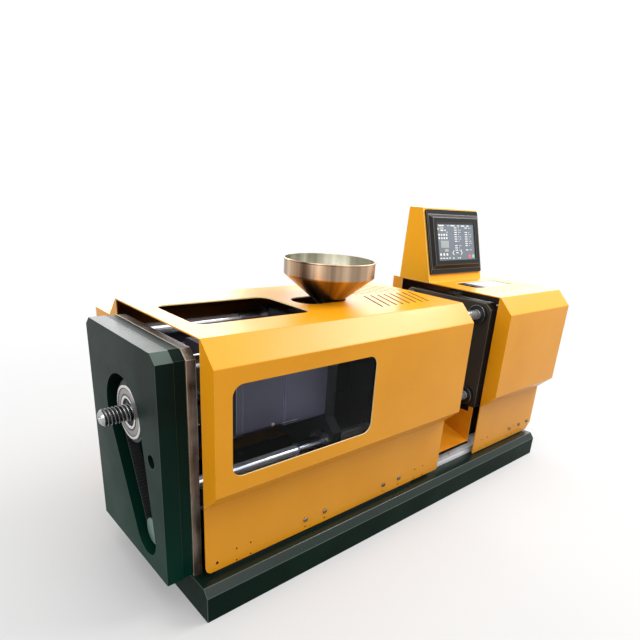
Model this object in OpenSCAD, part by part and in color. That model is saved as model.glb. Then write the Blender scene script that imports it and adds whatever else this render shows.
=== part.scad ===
/* [Bed] */
// Length of the machine bed
bed_l = 930; // [900:5:1100]
// Width of the machine bed
bed_w = 318; // [312:1:360]
// Height of the machine bed
bed_h = 55; // [45:1:75]
// How far the long top bevel reaches in
bed_bevel_in = 10; // [4:1:16]
// How far the long top bevel drops
bed_bevel_drop = 12; // [4:1:20]

/* [Screw axis and bars] */
// Height of the injection and clamp axis above the floor
axis_z = 282; // [270:1:300]
// Diameter of the four bars
bar_d = 20; // [16:1:22]
// Distance of a bar from the middle plane
bar_dy = 90; // [84:1:94]
// Distance of a bar above or below the axis
bar_dz = 91; // [86:1:94]
// Outer diameter of the two ball screws
screw_d = 25; // [20:1:28]

/* [Plates] */
// Width of every upright plate
plate_w = 234; // [230:1:244]
// Rise of the plates above the axis
plate_rise = 116; // [112:1:120]
// How far the top corner bevel of a plate reaches in
plate_bevel_in = 14; // [6:1:20]
// How far the top corner bevel of a plate drops
plate_bevel_drop = 12; // [6:1:20]
// Thickness of the bare steel plate behind the belt housing
support_t = 14; // [6:0.5:16]
// Thickness of the fixed platen
fixed_platen_t = 30; // [24:1:34]
// Thickness of the moving platen
moving_platen_t = 28; // [22:1:32]
// Thickness of the plate that carries the clamp screw
clamp_plate_t = 25; // [20:1:28]
// Thickness of the two plates that ride on the bars
rider_t = 20; // [16:1:22]

/* [Belt housing] */
// Thickness of the outer layer with the long opening
housing_t = 24; // [22:1:30]
// Thickness of the inner layer behind it
backing_t = 16; // [15:1:20]
// Gap between the housing and the bed top
housing_lift = 3; // [1:0.5:6]
// Radius of the opening round the large pulley
slot_r = 58; // [54:1:62]
// Radius of the opening round the motor pulley
slot_low_r = 32; // [27:1:34]
// Sideways place of the motor shaft, towards the operator
motor_dy = 52; // [45:1:58]
// Height of the motor shaft above the bed
motor_rise = 54; // [48:1:60]
// Diameter of the bolt counterbore
counterbore_d = 20; // [14:1:22]

/* [Belt drive] */
// Teeth on the large pulley
big_teeth = 56; // [54:1:58]
// Teeth on the motor pulley
small_teeth = 26; // [22:1:28]
// Tooth pitch of the belt
tooth_pitch = 5; // [4.8:0.1:5.2]
// Width of the belt
belt_w = 15; // [12:1:16]
// Outer diameter of the bearing in the large pulley
bearing_od = 80; // [74:1:82]
// Bore of that bearing
bearing_bore = 40; // [36:1:42]
// Width of that bearing
bearing_w = 15; // [12:1:16]
// Width of the thin bearing that carries the ball nut
nut_bearing_w = 9; // [7:1:10]

/* [Motors] */
// Side of a square servo motor
motor_side = 80; // [70:1:84]
// Length of a servo motor
motor_l = 132; // [110:1:140]
// Diameter of the motor shaft
motor_shaft_d = 19; // [14:1:20]

/* [Injection carriage] */
// Thickness of the yoke
yoke_t = 12; // [10:1:14]
// Distance of the pusher plate from the left end of the bed
pusher_at = 262; // [260:1:264]
// Rise of the gear motor's casing above the axis
gearmotor_side = 66; // [60:1:70]
// Width of the gear motor that turns the feed screw
gearmotor_w = 184; // [170:1:186]
// Outer diameter of a bar bush
bush_d = 28; // [26:1:34]
// Length of a bar bush on the pusher plate
bush_l = 80; // [70:1:82]
// Diameter of the flange of a bush
bush_flange_d = 48; // [44:1:54]
// Thickness of the flange of a bush
bush_flange_t = 8; // [6:1:10]
// Travel of the injection carriage away from the barrel
injection_travel = 65; // [55:1:66]

/* [Barrel unit] */
// Distance of the barrel plate from the left end of the bed
barrel_plate_at = 372; // [370:1:376]
// Outer diameter of the barrel
barrel_d = 52; // [46:1:56]
// Diameter of the feed screw
feed_screw_d = 25; // [20:1:28]
// Length of the barrel in front of its plate
barrel_l = 96; // [90:1:100]
// Width of the feed block
feed_w = 70; // [60:1:76]
// Travel of the barrel unit away from the mould
nozzle_travel = 20; // [10:1:20]
// Travel of the feed screw towards the nozzle
forward_travel = 12; // [6:1:14]

/* [Hopper] */
// Distance of the hopper axis from the left end of the bed
hopper_at = 335; // [333:1:340]
// Rim diameter of the hopper
hopper_d = 158; // [140:1:180]
// Height of the rim above the floor
hopper_rim_z = 485; // [470:1:510]
// Height of the straight band below the rim
hopper_band = 27.5; // [20:0.5:36]
// Outer diameter of the throat
throat_d = 40; // [34:1:44]
// Wall of the hopper sheet
hopper_wall = 1.5; // [1:0.1:2.5]

/* [Mould and clamp] */
// Distance of the fixed platen from the left end of the bed
fixed_platen_at = 505; // [503:1:508]
// Distance of the moving platen from the left end of the bed
moving_platen_at = 690; // [686:1:694]
// Distance of the clamp plate from the left end of the bed
clamp_plate_at = 866; // [862:1:870]
// Underside of the moving platen above the bed
moving_platen_lift = 112; // [107:1:114]
// Travel of the moving platen
clamp_travel = 100; // [60:1:100]

/* [Covers] */
// Sheet thickness of the covers
sheet_t = 2; // [1.5:0.1:2.5]
// Room between the plates and a cover skirt, each side
cover_gap = 15.6; // [14:0.2:18]
// Height of the cover tops above the plates
cover_head = 18.3; // [16:0.1:24]
// How far the bulge stands out from the skirt
bulge_out = 31.5; // [20:0.5:36]
// Height of the lower bulge edge above the bed
bulge_rise = 150; // [140:1:160]
// Gap between a skirt and the bed
skirt_lift = 6.5; // [4:0.5:9]
// Gap between the right cover's skirt and the bed
guard_lift = 2.5; // [2:0.5:6]
// Distance of the left cover from the left end of the bed
left_cover_at = 13.6; // [12:0.2:18]
// Length of the left cover
left_cover_l = 543; // [541:1:548]
// Distance of the right cover from the left end of the bed
right_cover_at = 689.6; // [687:0.2:692]
// Length of the right cover
right_cover_l = 256.4; // [240:0.2:264]
// Depth of the right cover behind the middle plane
right_rear_y = 161; // [156:1:166]
// Travel of the right cover over the mould gap
guard_travel = 125; // [60:1:125]

/* [Openings in the covers] */
// Length of the front window
window_l = 262; // [200:1:266]
// Height of the front window
window_h = 132; // [110:1:140]
// Corner radius of the front window
window_r = 17; // [8:0.5:24]
// Distance of the front window from the cover's left end
window_in = 26; // [20:1:34]
// Height of the window's lower edge above the lower bulge edge
window_up = 23.6; // [18:0.2:26]
// Length of the top opening
top_open_l = 198; // [150:1:200]
// Width of the top opening
top_open_w = 133; // [90:1:136]
// Distance of the top opening from the cover's left end
top_open_in = 28.5; // [24:0.5:32]
// Width of the slot that the hopper throat moves in
hopper_slot_w = 62; // [60:1:66]
// Louvres in one row
louvres = 8; // [4:1:8]
// Distance between two louvres
louvre_pitch = 17.9; // [14:0.1:18]
// Width of one louvre
louvre_w = 3.5; // [2:0.1:6]
// Length of the right cover's top opening
right_open_l = 160; // [120:1:170]
// Width of the right cover's top opening
right_open_w = 66; // [50:1:70]

/* [Operator panel] */
// Width of the console
console_w = 208; // [202:1:212]
// Depth of the console at its foot
console_d = 90; // [84:1:96]
// Height of the console
console_h = 159; // [156:1:166]
// Lean of the console's front
console_lean = 15.5; // [10:0.5:16]
// Width of the panel frame
panel_w = 200; // [190:1:200]
// Height of the panel frame
panel_h = 144; // [138:1:146]
// Width of the display
screen_w = 148; // [140:1:156]
// Height of the display
screen_h = 84; // [78:1:90]

/* [Rails, chute and electrics] */
// Width of a guide rail
rail_w = 15; // [12:1:15]
// Height of a guide rail
rail_h = 15; // [12:1:15]
// Length of the chute along the machine
chute_l = 104; // [90:1:106]
// Height of the chute's front edge above the bed
chute_lift = 41; // [38:1:46]
// Slope of the chute floor
chute_slope = 15.5; // [8:0.5:15.5]
// Length of the electrics box
ebox_l = 464; // [300:1:470]
// Depth of the electrics box
ebox_d = 61; // [45:1:70]
// Height of the electrics box
ebox_h = 300; // [250:1:310]

/* [Hidden] */

// Shared small sizes
over = 1;
seat = 0.05;
run = 0.08;
clear = 0.3;
fine = 72;

// Places worked out from the driving sizes
left_x = -bed_l / 2;
plate_top_z = axis_z + plate_rise;
motor_z = bed_h + motor_rise;
support_in = 2;
support_x = left_x + support_in;
backing_x = support_x - backing_t;
housing_x = backing_x - housing_t;
skirt_y = plate_w / 2 + cover_gap;
bulge_y = skirt_y + bulge_out;
cover_top_z = plate_top_z + cover_head;
skirt_z = bed_h + skirt_lift;
guard_z = bed_h + guard_lift;
bulge_z = bed_h + bulge_rise;
mitre_share = tan(22.5);
pusher_x = left_x + pusher_at;
barrel_plate_x = left_x + barrel_plate_at;
fixed_platen_x = left_x + fixed_platen_at;
moving_platen_x = left_x + moving_platen_at;
clamp_plate_x = left_x + clamp_plate_at;
left_cover_x = left_x + left_cover_at;
right_cover_x = left_x + right_cover_at;
hopper_x = left_x + hopper_at;
bar_places = [for (sy = [-1, 1], sz = [-1, 1]) [sy * bar_dy, axis_z + sz * bar_dz]];

// Draws a flat outline of the yz plane as a prism along x
module along_x(x, len) {
    translate([x, 0, 0])
        rotate([90, 0, 90])
            linear_extrude(height = len) children();
}

// Draws a flat outline of the xz plane as a prism along y
module along_y(y, len) {
    translate([0, y + len, 0])
        rotate([90, 0, 0])
            linear_extrude(height = len) children();
}

// A round bar along x
module rod_x(x, len, d, y = 0, z = axis_z) {
    translate([x, y, z])
        rotate([0, 90, 0])
            cylinder(h = len, d = d, $fn = fine);
}

// A tube along x
module tube_x(x, len, d, bore, y = 0, z = axis_z) {
    difference() {
        rod_x(x, len, d, y, z);
        rod_x(x - over, len + 2 * over, bore, y, z);
    }
}

// A block given by its corner and its size
module block(corner, size) {
    translate(corner) cube(size);
}

// A flat rectangle with round corners, centred
module round_rect(w, h, r) {
    inner_w = w - 2 * r;
    inner_h = h - 2 * r;
    square([w, inner_h], center = true);
    square([inner_w, h], center = true);
    for (sx = [-1, 1], sy = [-1, 1])
        translate([sx * inner_w / 2, sy * inner_h / 2]) circle(r = r, $fn = 48);
}

// Front view of an upright plate with bevelled top corners
module plate_outline(low_z, w = plate_w) {
    polygon([[-w / 2, low_z], [w / 2, low_z],
        [w / 2, plate_top_z - plate_bevel_drop], [w / 2 - plate_bevel_in, plate_top_z],
        [-w / 2 + plate_bevel_in, plate_top_z], [-w / 2, plate_top_z - plate_bevel_drop]]);
}

// Four bores for the bars
module bar_bores(x, len, d) {
    for (p = bar_places) rod_x(x - over, len + 2 * over, d, p[0], p[1]);
}

// Outline that wraps two circles the way a belt does
module wrap(c1, r1, c2, r2) {
    reach = norm(c2 - c1);
    aim = atan2(c2[1] - c1[1], c2[0] - c1[0]);
    spread = acos((r1 - r2) / reach);
    sides = [aim + spread, aim - spread];
    translate(c1) circle(r = r1, $fn = 96);
    translate(c2) circle(r = r2, $fn = 96);
    polygon([c1 + r1 * [cos(sides[0]), sin(sides[0])], c2 + r2 * [cos(sides[0]), sin(sides[0])],
        c2 + r2 * [cos(sides[1]), sin(sides[1])], c1 + r1 * [cos(sides[1]), sin(sides[1])]]);
}

// Bed: one milled slab
module bed() {
    half = bed_w / 2;
    color("#10231c")
        along_x(left_x, bed_l)
            polygon([[-half, 0], [half, 0], [half, bed_h - bed_bevel_drop],
                [half - bed_bevel_in, bed_h], [-half + bed_bevel_in, bed_h],
                [-half, bed_h - bed_bevel_drop]]);
}

// Belt housing: the outer layer with its drop-shaped opening
bolt_dy = 87.6;
bolt_drop = 38;
bolt_d = 12;
bolt_head_h = 12;
bolt_head_d = 18;
counterbore_depth = 18;
slot_top = [0, axis_z];
slot_low = [-motor_dy, motor_z];
module belt_housing() {
    color("#16281f")
        difference() {
            along_x(housing_x, housing_t) plate_outline(bed_h + housing_lift);
            along_x(housing_x - over, housing_t + 2 * over) wrap(slot_top, slot_r, slot_low, slot_low_r);
            rod_x(housing_x - over, counterbore_depth + over, counterbore_d, -bolt_dy, axis_z - bolt_drop);
            rod_x(housing_x - over, housing_t + 2 * over, bolt_d + 2 * clear, -bolt_dy, axis_z - bolt_drop);
        }
}

// Backing: the inner layer, recessed for the pulleys and bored for the nut bearing
recess = 6;
backing_edge = 2.5;
nut_bearing_x = backing_x + recess + clear;
nut_tail = 20;
nut_end_x = nut_bearing_x + nut_bearing_w + nut_tail;
yoke_margin = 3;
yoke_x = nut_end_x + injection_travel + yoke_margin;
bearing_lip = 5;
motor_hole_d = 35;
module housing_backing() {
    color("#13231b")
        difference() {
            along_x(backing_x, backing_t) plate_outline(bed_h + housing_lift, plate_w - 2 * backing_edge);
            along_x(backing_x - over, recess + over) wrap(slot_top, slot_r, slot_low, slot_low_r);
            rod_x(backing_x, backing_t + over, bearing_od + 2 * seat);
            rod_x(backing_x, backing_t + over, motor_hole_d, -motor_dy, motor_z);
            bar_bores(backing_x + backing_t / 2, backing_t, bar_d + 2 * seat);
            rod_x(backing_x - over, backing_t + 2 * over, bolt_d + 2 * seat, -bolt_dy, axis_z - bolt_drop);
        }
}

// Support plate: bare steel, stands on the bed and carries the bars and the motor
module support_plate() {
    color("#8d8072")
        difference() {
            along_x(support_x, support_t) plate_outline(bed_h);
            rod_x(support_x - over, support_t + 2 * over, bearing_od - 2 * bearing_lip);
            rod_x(support_x - over, support_t + 2 * over, motor_hole_d, -motor_dy, motor_z);
            bar_bores(support_x, support_t, bar_d + 2 * seat);
            rod_x(support_x - over, support_t + 2 * over, bolt_d + 2 * seat, -bolt_dy, axis_z - bolt_drop);
        }
}

// Cap screw that joins housing, backing and support plate
socket_d = 10;
socket_depth = 6;
module housing_bolt() {
    head_x = housing_x + counterbore_depth - bolt_head_h;
    color("#26282a")
        difference() {
            union() {
                rod_x(head_x, bolt_head_h, bolt_head_d, -bolt_dy, axis_z - bolt_drop);
                rod_x(head_x + bolt_head_h, support_x + support_t - head_x - bolt_head_h, bolt_d,
                    -bolt_dy, axis_z - bolt_drop);
            }
            translate([head_x - over, -bolt_dy, axis_z - bolt_drop])
                rotate([0, 90, 0])
                    cylinder(h = socket_depth + over, d = socket_d, $fn = 6);
        }
}

// Servo motor: flange, body, rear cap and plug; its shaft belongs to the pulley
motor_flange_t = 8;
motor_cap_l = 30;
motor_cap_in = 5;
motor_plug = [26, 22, 14];
motor_r = 6;
motor_shaft_in = 20;
module servo_motor(x, dir) {
    flange_x = dir > 0 ? x : x - motor_flange_t;
    body_l = motor_l - motor_flange_t - motor_cap_l;
    body_x = dir > 0 ? x + motor_flange_t : x - motor_flange_t - body_l;
    cap_x = dir > 0 ? body_x + body_l : body_x - motor_cap_l;
    plug_x = cap_x + motor_cap_l / 2 - motor_plug[0] / 2;
    difference() {
        union() {
            along_x(flange_x, motor_flange_t)
                translate([-motor_dy, motor_z]) square(motor_side, center = true);
            along_x(body_x, body_l)
                translate([-motor_dy, motor_z])
                    round_rect(motor_side - motor_cap_in, motor_side - motor_cap_in, motor_r);
            along_x(cap_x, motor_cap_l)
                translate([-motor_dy, motor_z])
                    round_rect(motor_side - 2 * motor_cap_in, motor_side - 2 * motor_cap_in, motor_r);
            block([plug_x, -motor_dy - motor_plug[1] / 2, motor_z + motor_side / 2 - motor_cap_in - over],
                motor_plug);
        }
        rod_x(dir > 0 ? x - over : x - motor_shaft_in, motor_shaft_in + over, motor_shaft_d + 2 * run,
            -motor_dy, motor_z);
    }
}
module injection_motor() {
    color("#1c1d20") servo_motor(support_x + support_t, 1);
}
module clamp_motor() {
    color("#1c1d20") servo_motor(clamp_plate_x, -1);
}

// Four bars: guide rods on the left, tie bars in the mould gap
bar_x = backing_x + backing_t / 2;
bar_tail = 24;
bar_len = clamp_plate_x + clamp_plate_t + bar_tail - bar_x;
module guide_bars() {
    color("#c9ccd0")
        for (p = bar_places) rod_x(bar_x, bar_len, bar_d, p[0], p[1]);
}

// Nuts on the bar ends behind the clamp plate
nut_w = 30;
nut_t = 16;
module bar_nuts() {
    color("#b4b7ba")
        for (p = bar_places)
            difference() {
                translate([clamp_plate_x + clamp_plate_t, p[0], p[1]])
                    rotate([0, 90, 0])
                        cylinder(h = nut_t, d = nut_w / cos(30), $fn = 6);
                rod_x(clamp_plate_x + clamp_plate_t - over, nut_t + 2 * over, bar_d + 2 * seat, p[0], p[1]);
            }
}

// Fixed platen with the nozzle seat and the locating ring bore
nozzle_hole_d = 50;
nozzle_hole_deep = 22;
locating_d = 80;
locating_deep = 6;
sprue_d = 8;
module fixed_platen() {
    color("#33312d")
        difference() {
            along_x(fixed_platen_x, fixed_platen_t) plate_outline(bed_h);
            bar_bores(fixed_platen_x, fixed_platen_t, bar_d + 2 * seat);
            rod_x(fixed_platen_x - over, nozzle_hole_deep + over, nozzle_hole_d);
            rod_x(fixed_platen_x, fixed_platen_t + over, sprue_d);
            rod_x(fixed_platen_x + fixed_platen_t - locating_deep, locating_deep + over, locating_d);
        }
}

// Clamp plate: carries the clamp nut and motor, notched for the rails
notch_in = 30;
notch_up = 36;
module clamp_plate() {
    pocket = nut_bearing_w + clear;
    color("#33312d")
        difference() {
            along_x(clamp_plate_x, clamp_plate_t) plate_outline(bed_h);
            bar_bores(clamp_plate_x, clamp_plate_t, bar_d + 2 * seat);
            rod_x(clamp_plate_x - over, clamp_plate_t + 2 * over, bearing_od - 2 * bearing_lip);
            rod_x(clamp_plate_x + clamp_plate_t - pocket, pocket + over, bearing_od + 2 * seat);
            rod_x(clamp_plate_x - over, clamp_plate_t + 2 * over, motor_hole_d, -motor_dy, motor_z);
            for (sy = [-1, 1])
                block([clamp_plate_x - over, sy > 0 ? plate_w / 2 - notch_in : -plate_w / 2 - over,
                    bed_h - over],
                    [clamp_plate_t + 2 * over, notch_in + over, notch_up + over]);
        }
}

// Guide rails on the bed, with counterbored holes
carriage_half = 17;
carriage_at = [720, 868];
rail_y = skirt_y - sheet_t - carriage_half;
rail_lead = 54;
rail_x = left_x + carriage_at[0] - guard_travel - rail_lead;
rail_end = 4;
rail_foot_share = 0.4;
rail_neck_share = 0.7;
rail_first = 20;
rail_len = -left_x - rail_end - rail_x;
rail_pitch = 60;
rail_hole_d = 4.5;
rail_head_d = 7.5;
rail_head_deep = 5.3;
rail_neck_in = 1.6;
rail_holes = floor((rail_len - 2 * rail_first) / rail_pitch);
module guide_rails() {
    foot = rail_h * rail_foot_share;
    neck = rail_h * rail_neck_share;
    half = rail_w / 2;
    color("#c4c8cc")
        for (sy = [-1, 1])
            difference() {
                along_x(rail_x, rail_len)
                    translate([sy * rail_y, bed_h])
                        polygon([[-half, 0], [half, 0], [half, foot], [half - rail_neck_in, neck],
                            [half, rail_h], [-half, rail_h], [-half + rail_neck_in, neck], [-half, foot]]);
                for (i = [0:rail_holes])
                    translate([rail_x + rail_first + i * rail_pitch, sy * rail_y, bed_h - over]) {
                        cylinder(h = rail_h + 2 * over, d = rail_hole_d, $fn = 24);
                        translate([0, 0, rail_h - rail_head_deep + over])
                            cylinder(h = rail_head_deep + over, d = rail_head_d, $fn = 32);
                    }
            }
}

// Chute: sheet trough below the mould, its floor rising to the rear
chute_from = 27;
chute_side = 1.6;
chute_under = 3;
chute_x = fixed_platen_x + fixed_platen_t + chute_from;
chute_front_y = -(skirt_y - sheet_t - chute_side);
chute_depth = 214;
chute_ear = cover_gap - sheet_t - chute_side - over;
chute_ear_z = 176;
chute_foot = 20;
chute_top_z = bed_h + moving_platen_lift - chute_under;
module part_chute() {
    floor_z = bed_h + chute_lift;
    rise = chute_depth * tan(chute_slope);
    back_y = chute_front_y + chute_depth;
    side = [[chute_front_y, floor_z], [back_y, min(floor_z + rise, chute_top_z - sheet_t)],
        [back_y, chute_top_z], [chute_front_y + chute_ear, chute_top_z],
        [chute_front_y + chute_ear, chute_ear_z], [chute_front_y, chute_ear_z]];
    color("#e8a01c") {
        difference() {
            along_x(chute_x, chute_l) polygon(side);
            along_x(chute_x + sheet_t, chute_l - 2 * sheet_t)
                translate([0, sheet_t])
                    polygon([[chute_front_y - over, floor_z - over * tan(chute_slope)],
                        [back_y - sheet_t,
                            min(floor_z + rise, chute_top_z - sheet_t) - sheet_t * tan(chute_slope)],
                        [back_y - sheet_t, chute_ear_z + over], [chute_front_y - over, chute_ear_z + over]]);
        }
        for (ex = [chute_x, chute_x + chute_l - sheet_t], ey = [-chute_foot, chute_foot])
            block([ex, ey - chute_foot / 2, bed_h],
                [sheet_t, chute_foot,
                    floor_z - bed_h + (ey - chute_front_y) * tan(chute_slope) + chute_foot / 2]);
    }
}

// Outline of a cover, drawn in by t; the rear is a bulge like the front or an upright wall
function front_half(t, low) = [[-skirt_y + t, low], [-skirt_y + t, bulge_z - bulge_out + t * mitre_share],
    [-bulge_y + t, bulge_z + t * mitre_share], [-bulge_y + t, cover_top_z - bulge_out - t * mitre_share],
    [-skirt_y + t * mitre_share, cover_top_z - t]];
function mirror_half(pts) = [for (i = [len(pts) - 1:-1:0]) [-pts[i][0], pts[i][1]]];
module cover_shell(x, len, squared, t, low) {
    front_out = front_half(0, low);
    front_in = front_half(t, low - over);
    rear_out = squared ? [[right_rear_y, cover_top_z], [right_rear_y, low]] : mirror_half(front_out);
    rear_in = squared ? [[right_rear_y - t, cover_top_z - t], [right_rear_y - t, low - over]]
        : mirror_half(front_in);
    difference() {
        along_x(x, len) polygon(concat(front_out, rear_out));
        along_x(x - over, len + 2 * over) polygon(concat(front_in, rear_in));
    }
    for (ex = [x, x + len - t], side = squared ? [-1] : [-1, 1])
        along_x(ex, t)
            polygon([[side * (skirt_y - t), bulge_z - bulge_out + t * mitre_share],
                [side * (bulge_y - t), bulge_z + t * mitre_share],
                [side * (bulge_y - t), cover_top_z - bulge_out - t * mitre_share],
                [side * (skirt_y - t * mitre_share), cover_top_z - t],
                [side * (skirt_y - t), cover_top_z - t]]);
    if (squared)
        for (ex = [x, x + len - t])
            block([ex, skirt_y, low], [t, right_rear_y - t / 2 - skirt_y, cover_top_z - t / 2 - low]);
}

// Cuts a lower corner of a skirt round
module skirt_corner(x, dir, r, y, low) {
    along_y(y - 2 * sheet_t, 4 * sheet_t)
        difference() {
            translate([dir > 0 ? x - over : x - r, low - over]) square(r + over);
            translate([x + dir * r, low + r]) circle(r = r, $fn = 48);
        }
}

// Holes and screws of the skirts: distance from the bed's left end and height above the skirt edge
skirt_screw_d = 5;
skirt_hole_d = 3;
square_w = 25;
square_h = 21;
left_screw_at = [197.6, 240, 387.5, 431.7];
left_screw_up = 21;
lower_hole_drop = 14;
left_square_at = [77.5, 493];
square_up = 13.5;
end_hole_at = 31.8;
module left_skirt_holes(sy) {
    hole_y = sy * skirt_y - 2 * sheet_t;
    along_y(hole_y, 4 * sheet_t) {
        for (u = left_screw_at) {
            translate([left_x + u, skirt_z + left_screw_up]) circle(d = skirt_screw_d + 2 * seat, $fn = 24);
            translate([left_x + u, skirt_z + left_screw_up - lower_hole_drop])
                circle(d = skirt_hole_d, $fn = 16);
        }
        for (u = left_square_at, su = [-1, 1], sv = [-1, 1])
            translate([left_x + u + su * square_w / 2, skirt_z + square_up + sv * square_h / 2])
                circle(d = skirt_hole_d, $fn = 16);
        translate([left_x + end_hole_at, skirt_z + square_up]) circle(d = skirt_screw_d, $fn = 24);
    }
}

// Left cover: folded sheet with window, top opening, hopper slot and louvres
corner_r = 10;
small_corner_r = 3;
louvre_skew = 24.6;
louvre_l = 92;
louvre_gap = 9;
first_louvre_at = 398.5;
slot_left_at = 262;
slot_right_at = 368;
top_open_shift = -6.5;
module louvre_row(sy) {
    for (i = [0:louvres - 1])
        translate([left_x + first_louvre_at + i * louvre_pitch,
            sy * (louvre_gap + louvre_l * cos(louvre_skew) / 2), 0])
            rotate([0, 0, sy * louvre_skew])
                translate([-louvre_w / 2, -louvre_l / 2, cover_top_z - 2 * sheet_t])
                    cube([louvre_w, louvre_l, 4 * sheet_t]);
}
module left_cover() {
    window_mid_x = left_cover_x + window_in + window_l / 2;
    window_mid_z = bulge_z + window_up + window_h / 2;
    open_x = left_cover_x + top_open_in + top_open_l / 2;
    slot_mid = left_x + (slot_left_at + slot_right_at) / 2;
    color("#eea41e")
        difference() {
            cover_shell(left_cover_x, left_cover_l, false, sheet_t, skirt_z);
            along_y(-bulge_y - sheet_t, 3 * sheet_t)
                translate([window_mid_x, window_mid_z]) round_rect(window_l, window_h, window_r);
            translate([open_x, top_open_shift, cover_top_z - 2 * sheet_t])
                linear_extrude(height = 4 * sheet_t) round_rect(top_open_l, top_open_w, window_r);
            translate([slot_mid, 0, cover_top_z - 2 * sheet_t])
                linear_extrude(height = 4 * sheet_t)
                    round_rect(slot_right_at - slot_left_at, hopper_slot_w, hopper_slot_w / 2 - over);
            for (sy = [-1, 1]) {
                louvre_row(sy);
                left_skirt_holes(sy);
                skirt_corner(left_cover_x, 1, corner_r, sy * skirt_y, skirt_z);
                skirt_corner(left_cover_x + left_cover_l, -1, small_corner_r, sy * skirt_y, skirt_z);
            }
        }
}

// Front window: clear pane behind the cut-out
pane_t = 3;
pane_lap = 8;
module front_window() {
    window_mid_x = left_cover_x + window_in + window_l / 2;
    window_mid_z = bulge_z + window_up + window_h / 2;
    color("#9fb4bb", 0.35)
        along_y(-bulge_y + sheet_t, pane_t)
            translate([window_mid_x, window_mid_z])
                round_rect(window_l + 2 * pane_lap, window_h + 2 * pane_lap, window_r);
}

// Rear panel: upright sheet inside the rear skirt that carries the drives
panel_low_up = 63;
panel_from = 30;
panel_top_drop = 46;
module rear_panel() {
    low_z = bed_h + panel_low_up;
    color("#5b6472")
        block([left_cover_x + panel_from, skirt_y - 2 * sheet_t - clear, low_z],
            [left_cover_l - 2 * panel_from, sheet_t, plate_top_z - panel_top_drop - low_z]);
}

// Electrics box behind the left cover, with its screwed rear lid
ebox_in = 0;
ebox_drop = 31.3;
ebox_x = left_cover_x + ebox_in;
ebox_y = bulge_y;
ebox_z = cover_top_z - ebox_drop - ebox_h;
module electrics_box() {
    color("#eea41e")
        difference() {
            block([ebox_x, ebox_y, ebox_z], [ebox_l, ebox_d, ebox_h]);
            block([ebox_x + sheet_t, ebox_y + sheet_t, ebox_z + sheet_t],
                [ebox_l - 2 * sheet_t, ebox_d, ebox_h - 2 * sheet_t]);
            block([ebox_x + inlet_in, ebox_y + ebox_d / 2 - inlet_size[1] / 2, ebox_z - over],
                [inlet_size[0], inlet_size[1], sheet_t + 2 * over]);
        }
}
lid_screw_in = 12;
lid_screw_d = 8;
lid_screw_h = 2.5;
lid_vents = 9;
lid_vent = [60, 4];
lid_vent_pitch = 12;
module electrics_lid() {
    lid_y = ebox_y + ebox_d;
    color("#e89d1a")
        difference() {
            union() {
                block([ebox_x, lid_y, ebox_z], [ebox_l, sheet_t, ebox_h]);
                for (sx = [0, 1], sz = [0, 1])
                    translate([ebox_x + (sx > 0 ? ebox_l - lid_screw_in : lid_screw_in), lid_y + sheet_t,
                        ebox_z + (sz > 0 ? ebox_h - lid_screw_in : lid_screw_in)])
                        rotate([-90, 0, 0]) cylinder(h = lid_screw_h, d = lid_screw_d, $fn = 32);
            }
            for (side = [1, 3], i = [0:lid_vents - 1])
                block([ebox_x + side * ebox_l / 4 - lid_vent[0] / 2, lid_y - over,
                    ebox_z + ebox_h / 4 + i * lid_vent_pitch],
                    [lid_vent[0], sheet_t + 2 * over, lid_vent[1]]);
        }
}

// Mains inlet in the floor of the electrics box
inlet_in = 30;
inlet_size = [28, 34];
inlet_h = 26;
inlet_lip = 3;
inlet_wall = 4;
inlet_deep = 18;
module power_inlet() {
    mid_y = ebox_y + ebox_d / 2;
    color("#17181a")
        difference() {
            union() {
                block([ebox_x + inlet_in + seat, mid_y - inlet_size[1] / 2 + seat, ebox_z],
                    [inlet_size[0] - 2 * seat, inlet_size[1] - 2 * seat, inlet_h]);
                block([ebox_x + inlet_in - inlet_lip, mid_y - inlet_size[1] / 2 - inlet_lip,
                    ebox_z - inlet_lip],
                    [inlet_size[0] + 2 * inlet_lip, inlet_size[1] + 2 * inlet_lip, inlet_lip]);
            }
            block([ebox_x + inlet_in + inlet_wall, mid_y - inlet_size[1] / 2 + inlet_wall,
                ebox_z - inlet_lip - over],
                [inlet_size[0] - 2 * inlet_wall, inlet_size[1] - 2 * inlet_wall, inlet_deep + over]);
        }
}

// Angle strips on the bed that the left skirts are screwed to
bracket_leg = 20;
bracket_t = 3;
bracket_up = 38;
bracket_from = 30;
module skirt_brackets() {
    len = fixed_platen_x - left_x - 2 * bracket_from;
    outer = skirt_y - sheet_t;
    color("#2a2f2c")
        for (sy = [-1, 1])
            difference() {
                along_x(left_x + bracket_from, len)
                    polygon([[sy * outer, bed_h], [sy * outer, bed_h + bracket_up],
                        [sy * (outer - bracket_t), bed_h + bracket_up],
                        [sy * (outer - bracket_t), bed_h + bracket_t],
                        [sy * (outer - bracket_leg), bed_h + bracket_t],
                        [sy * (outer - bracket_leg), bed_h]]);
                for (u = left_screw_at)
                    translate([left_x + u, sy * outer, skirt_z + left_screw_up])
                        rotate([90, 0, 0])
                            cylinder(h = 4 * bracket_t, d = skirt_screw_d + 2 * seat, center = true,
                                $fn = 24);
            }
}

// Pan-head screws of the skirts
pan_head_d = 9;
pan_head_h = 2.6;
screw_reach = 9;
module pan_screw(x, sy, y, z, reach) {
    translate([x, sy * y, z])
        rotate([sy * 90, 0, 0]) {
            cylinder(h = reach, d = skirt_screw_d, $fn = 24);
            translate([0, 0, -pan_head_h]) cylinder(h = pan_head_h, d = pan_head_d, $fn = 32);
        }
}
module left_cover_screws() {
    color("#9a8f7c")
        for (sy = [-1, 1], u = left_screw_at)
            pan_screw(left_x + u, sy, skirt_y, skirt_z + left_screw_up, screw_reach);
}

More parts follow.
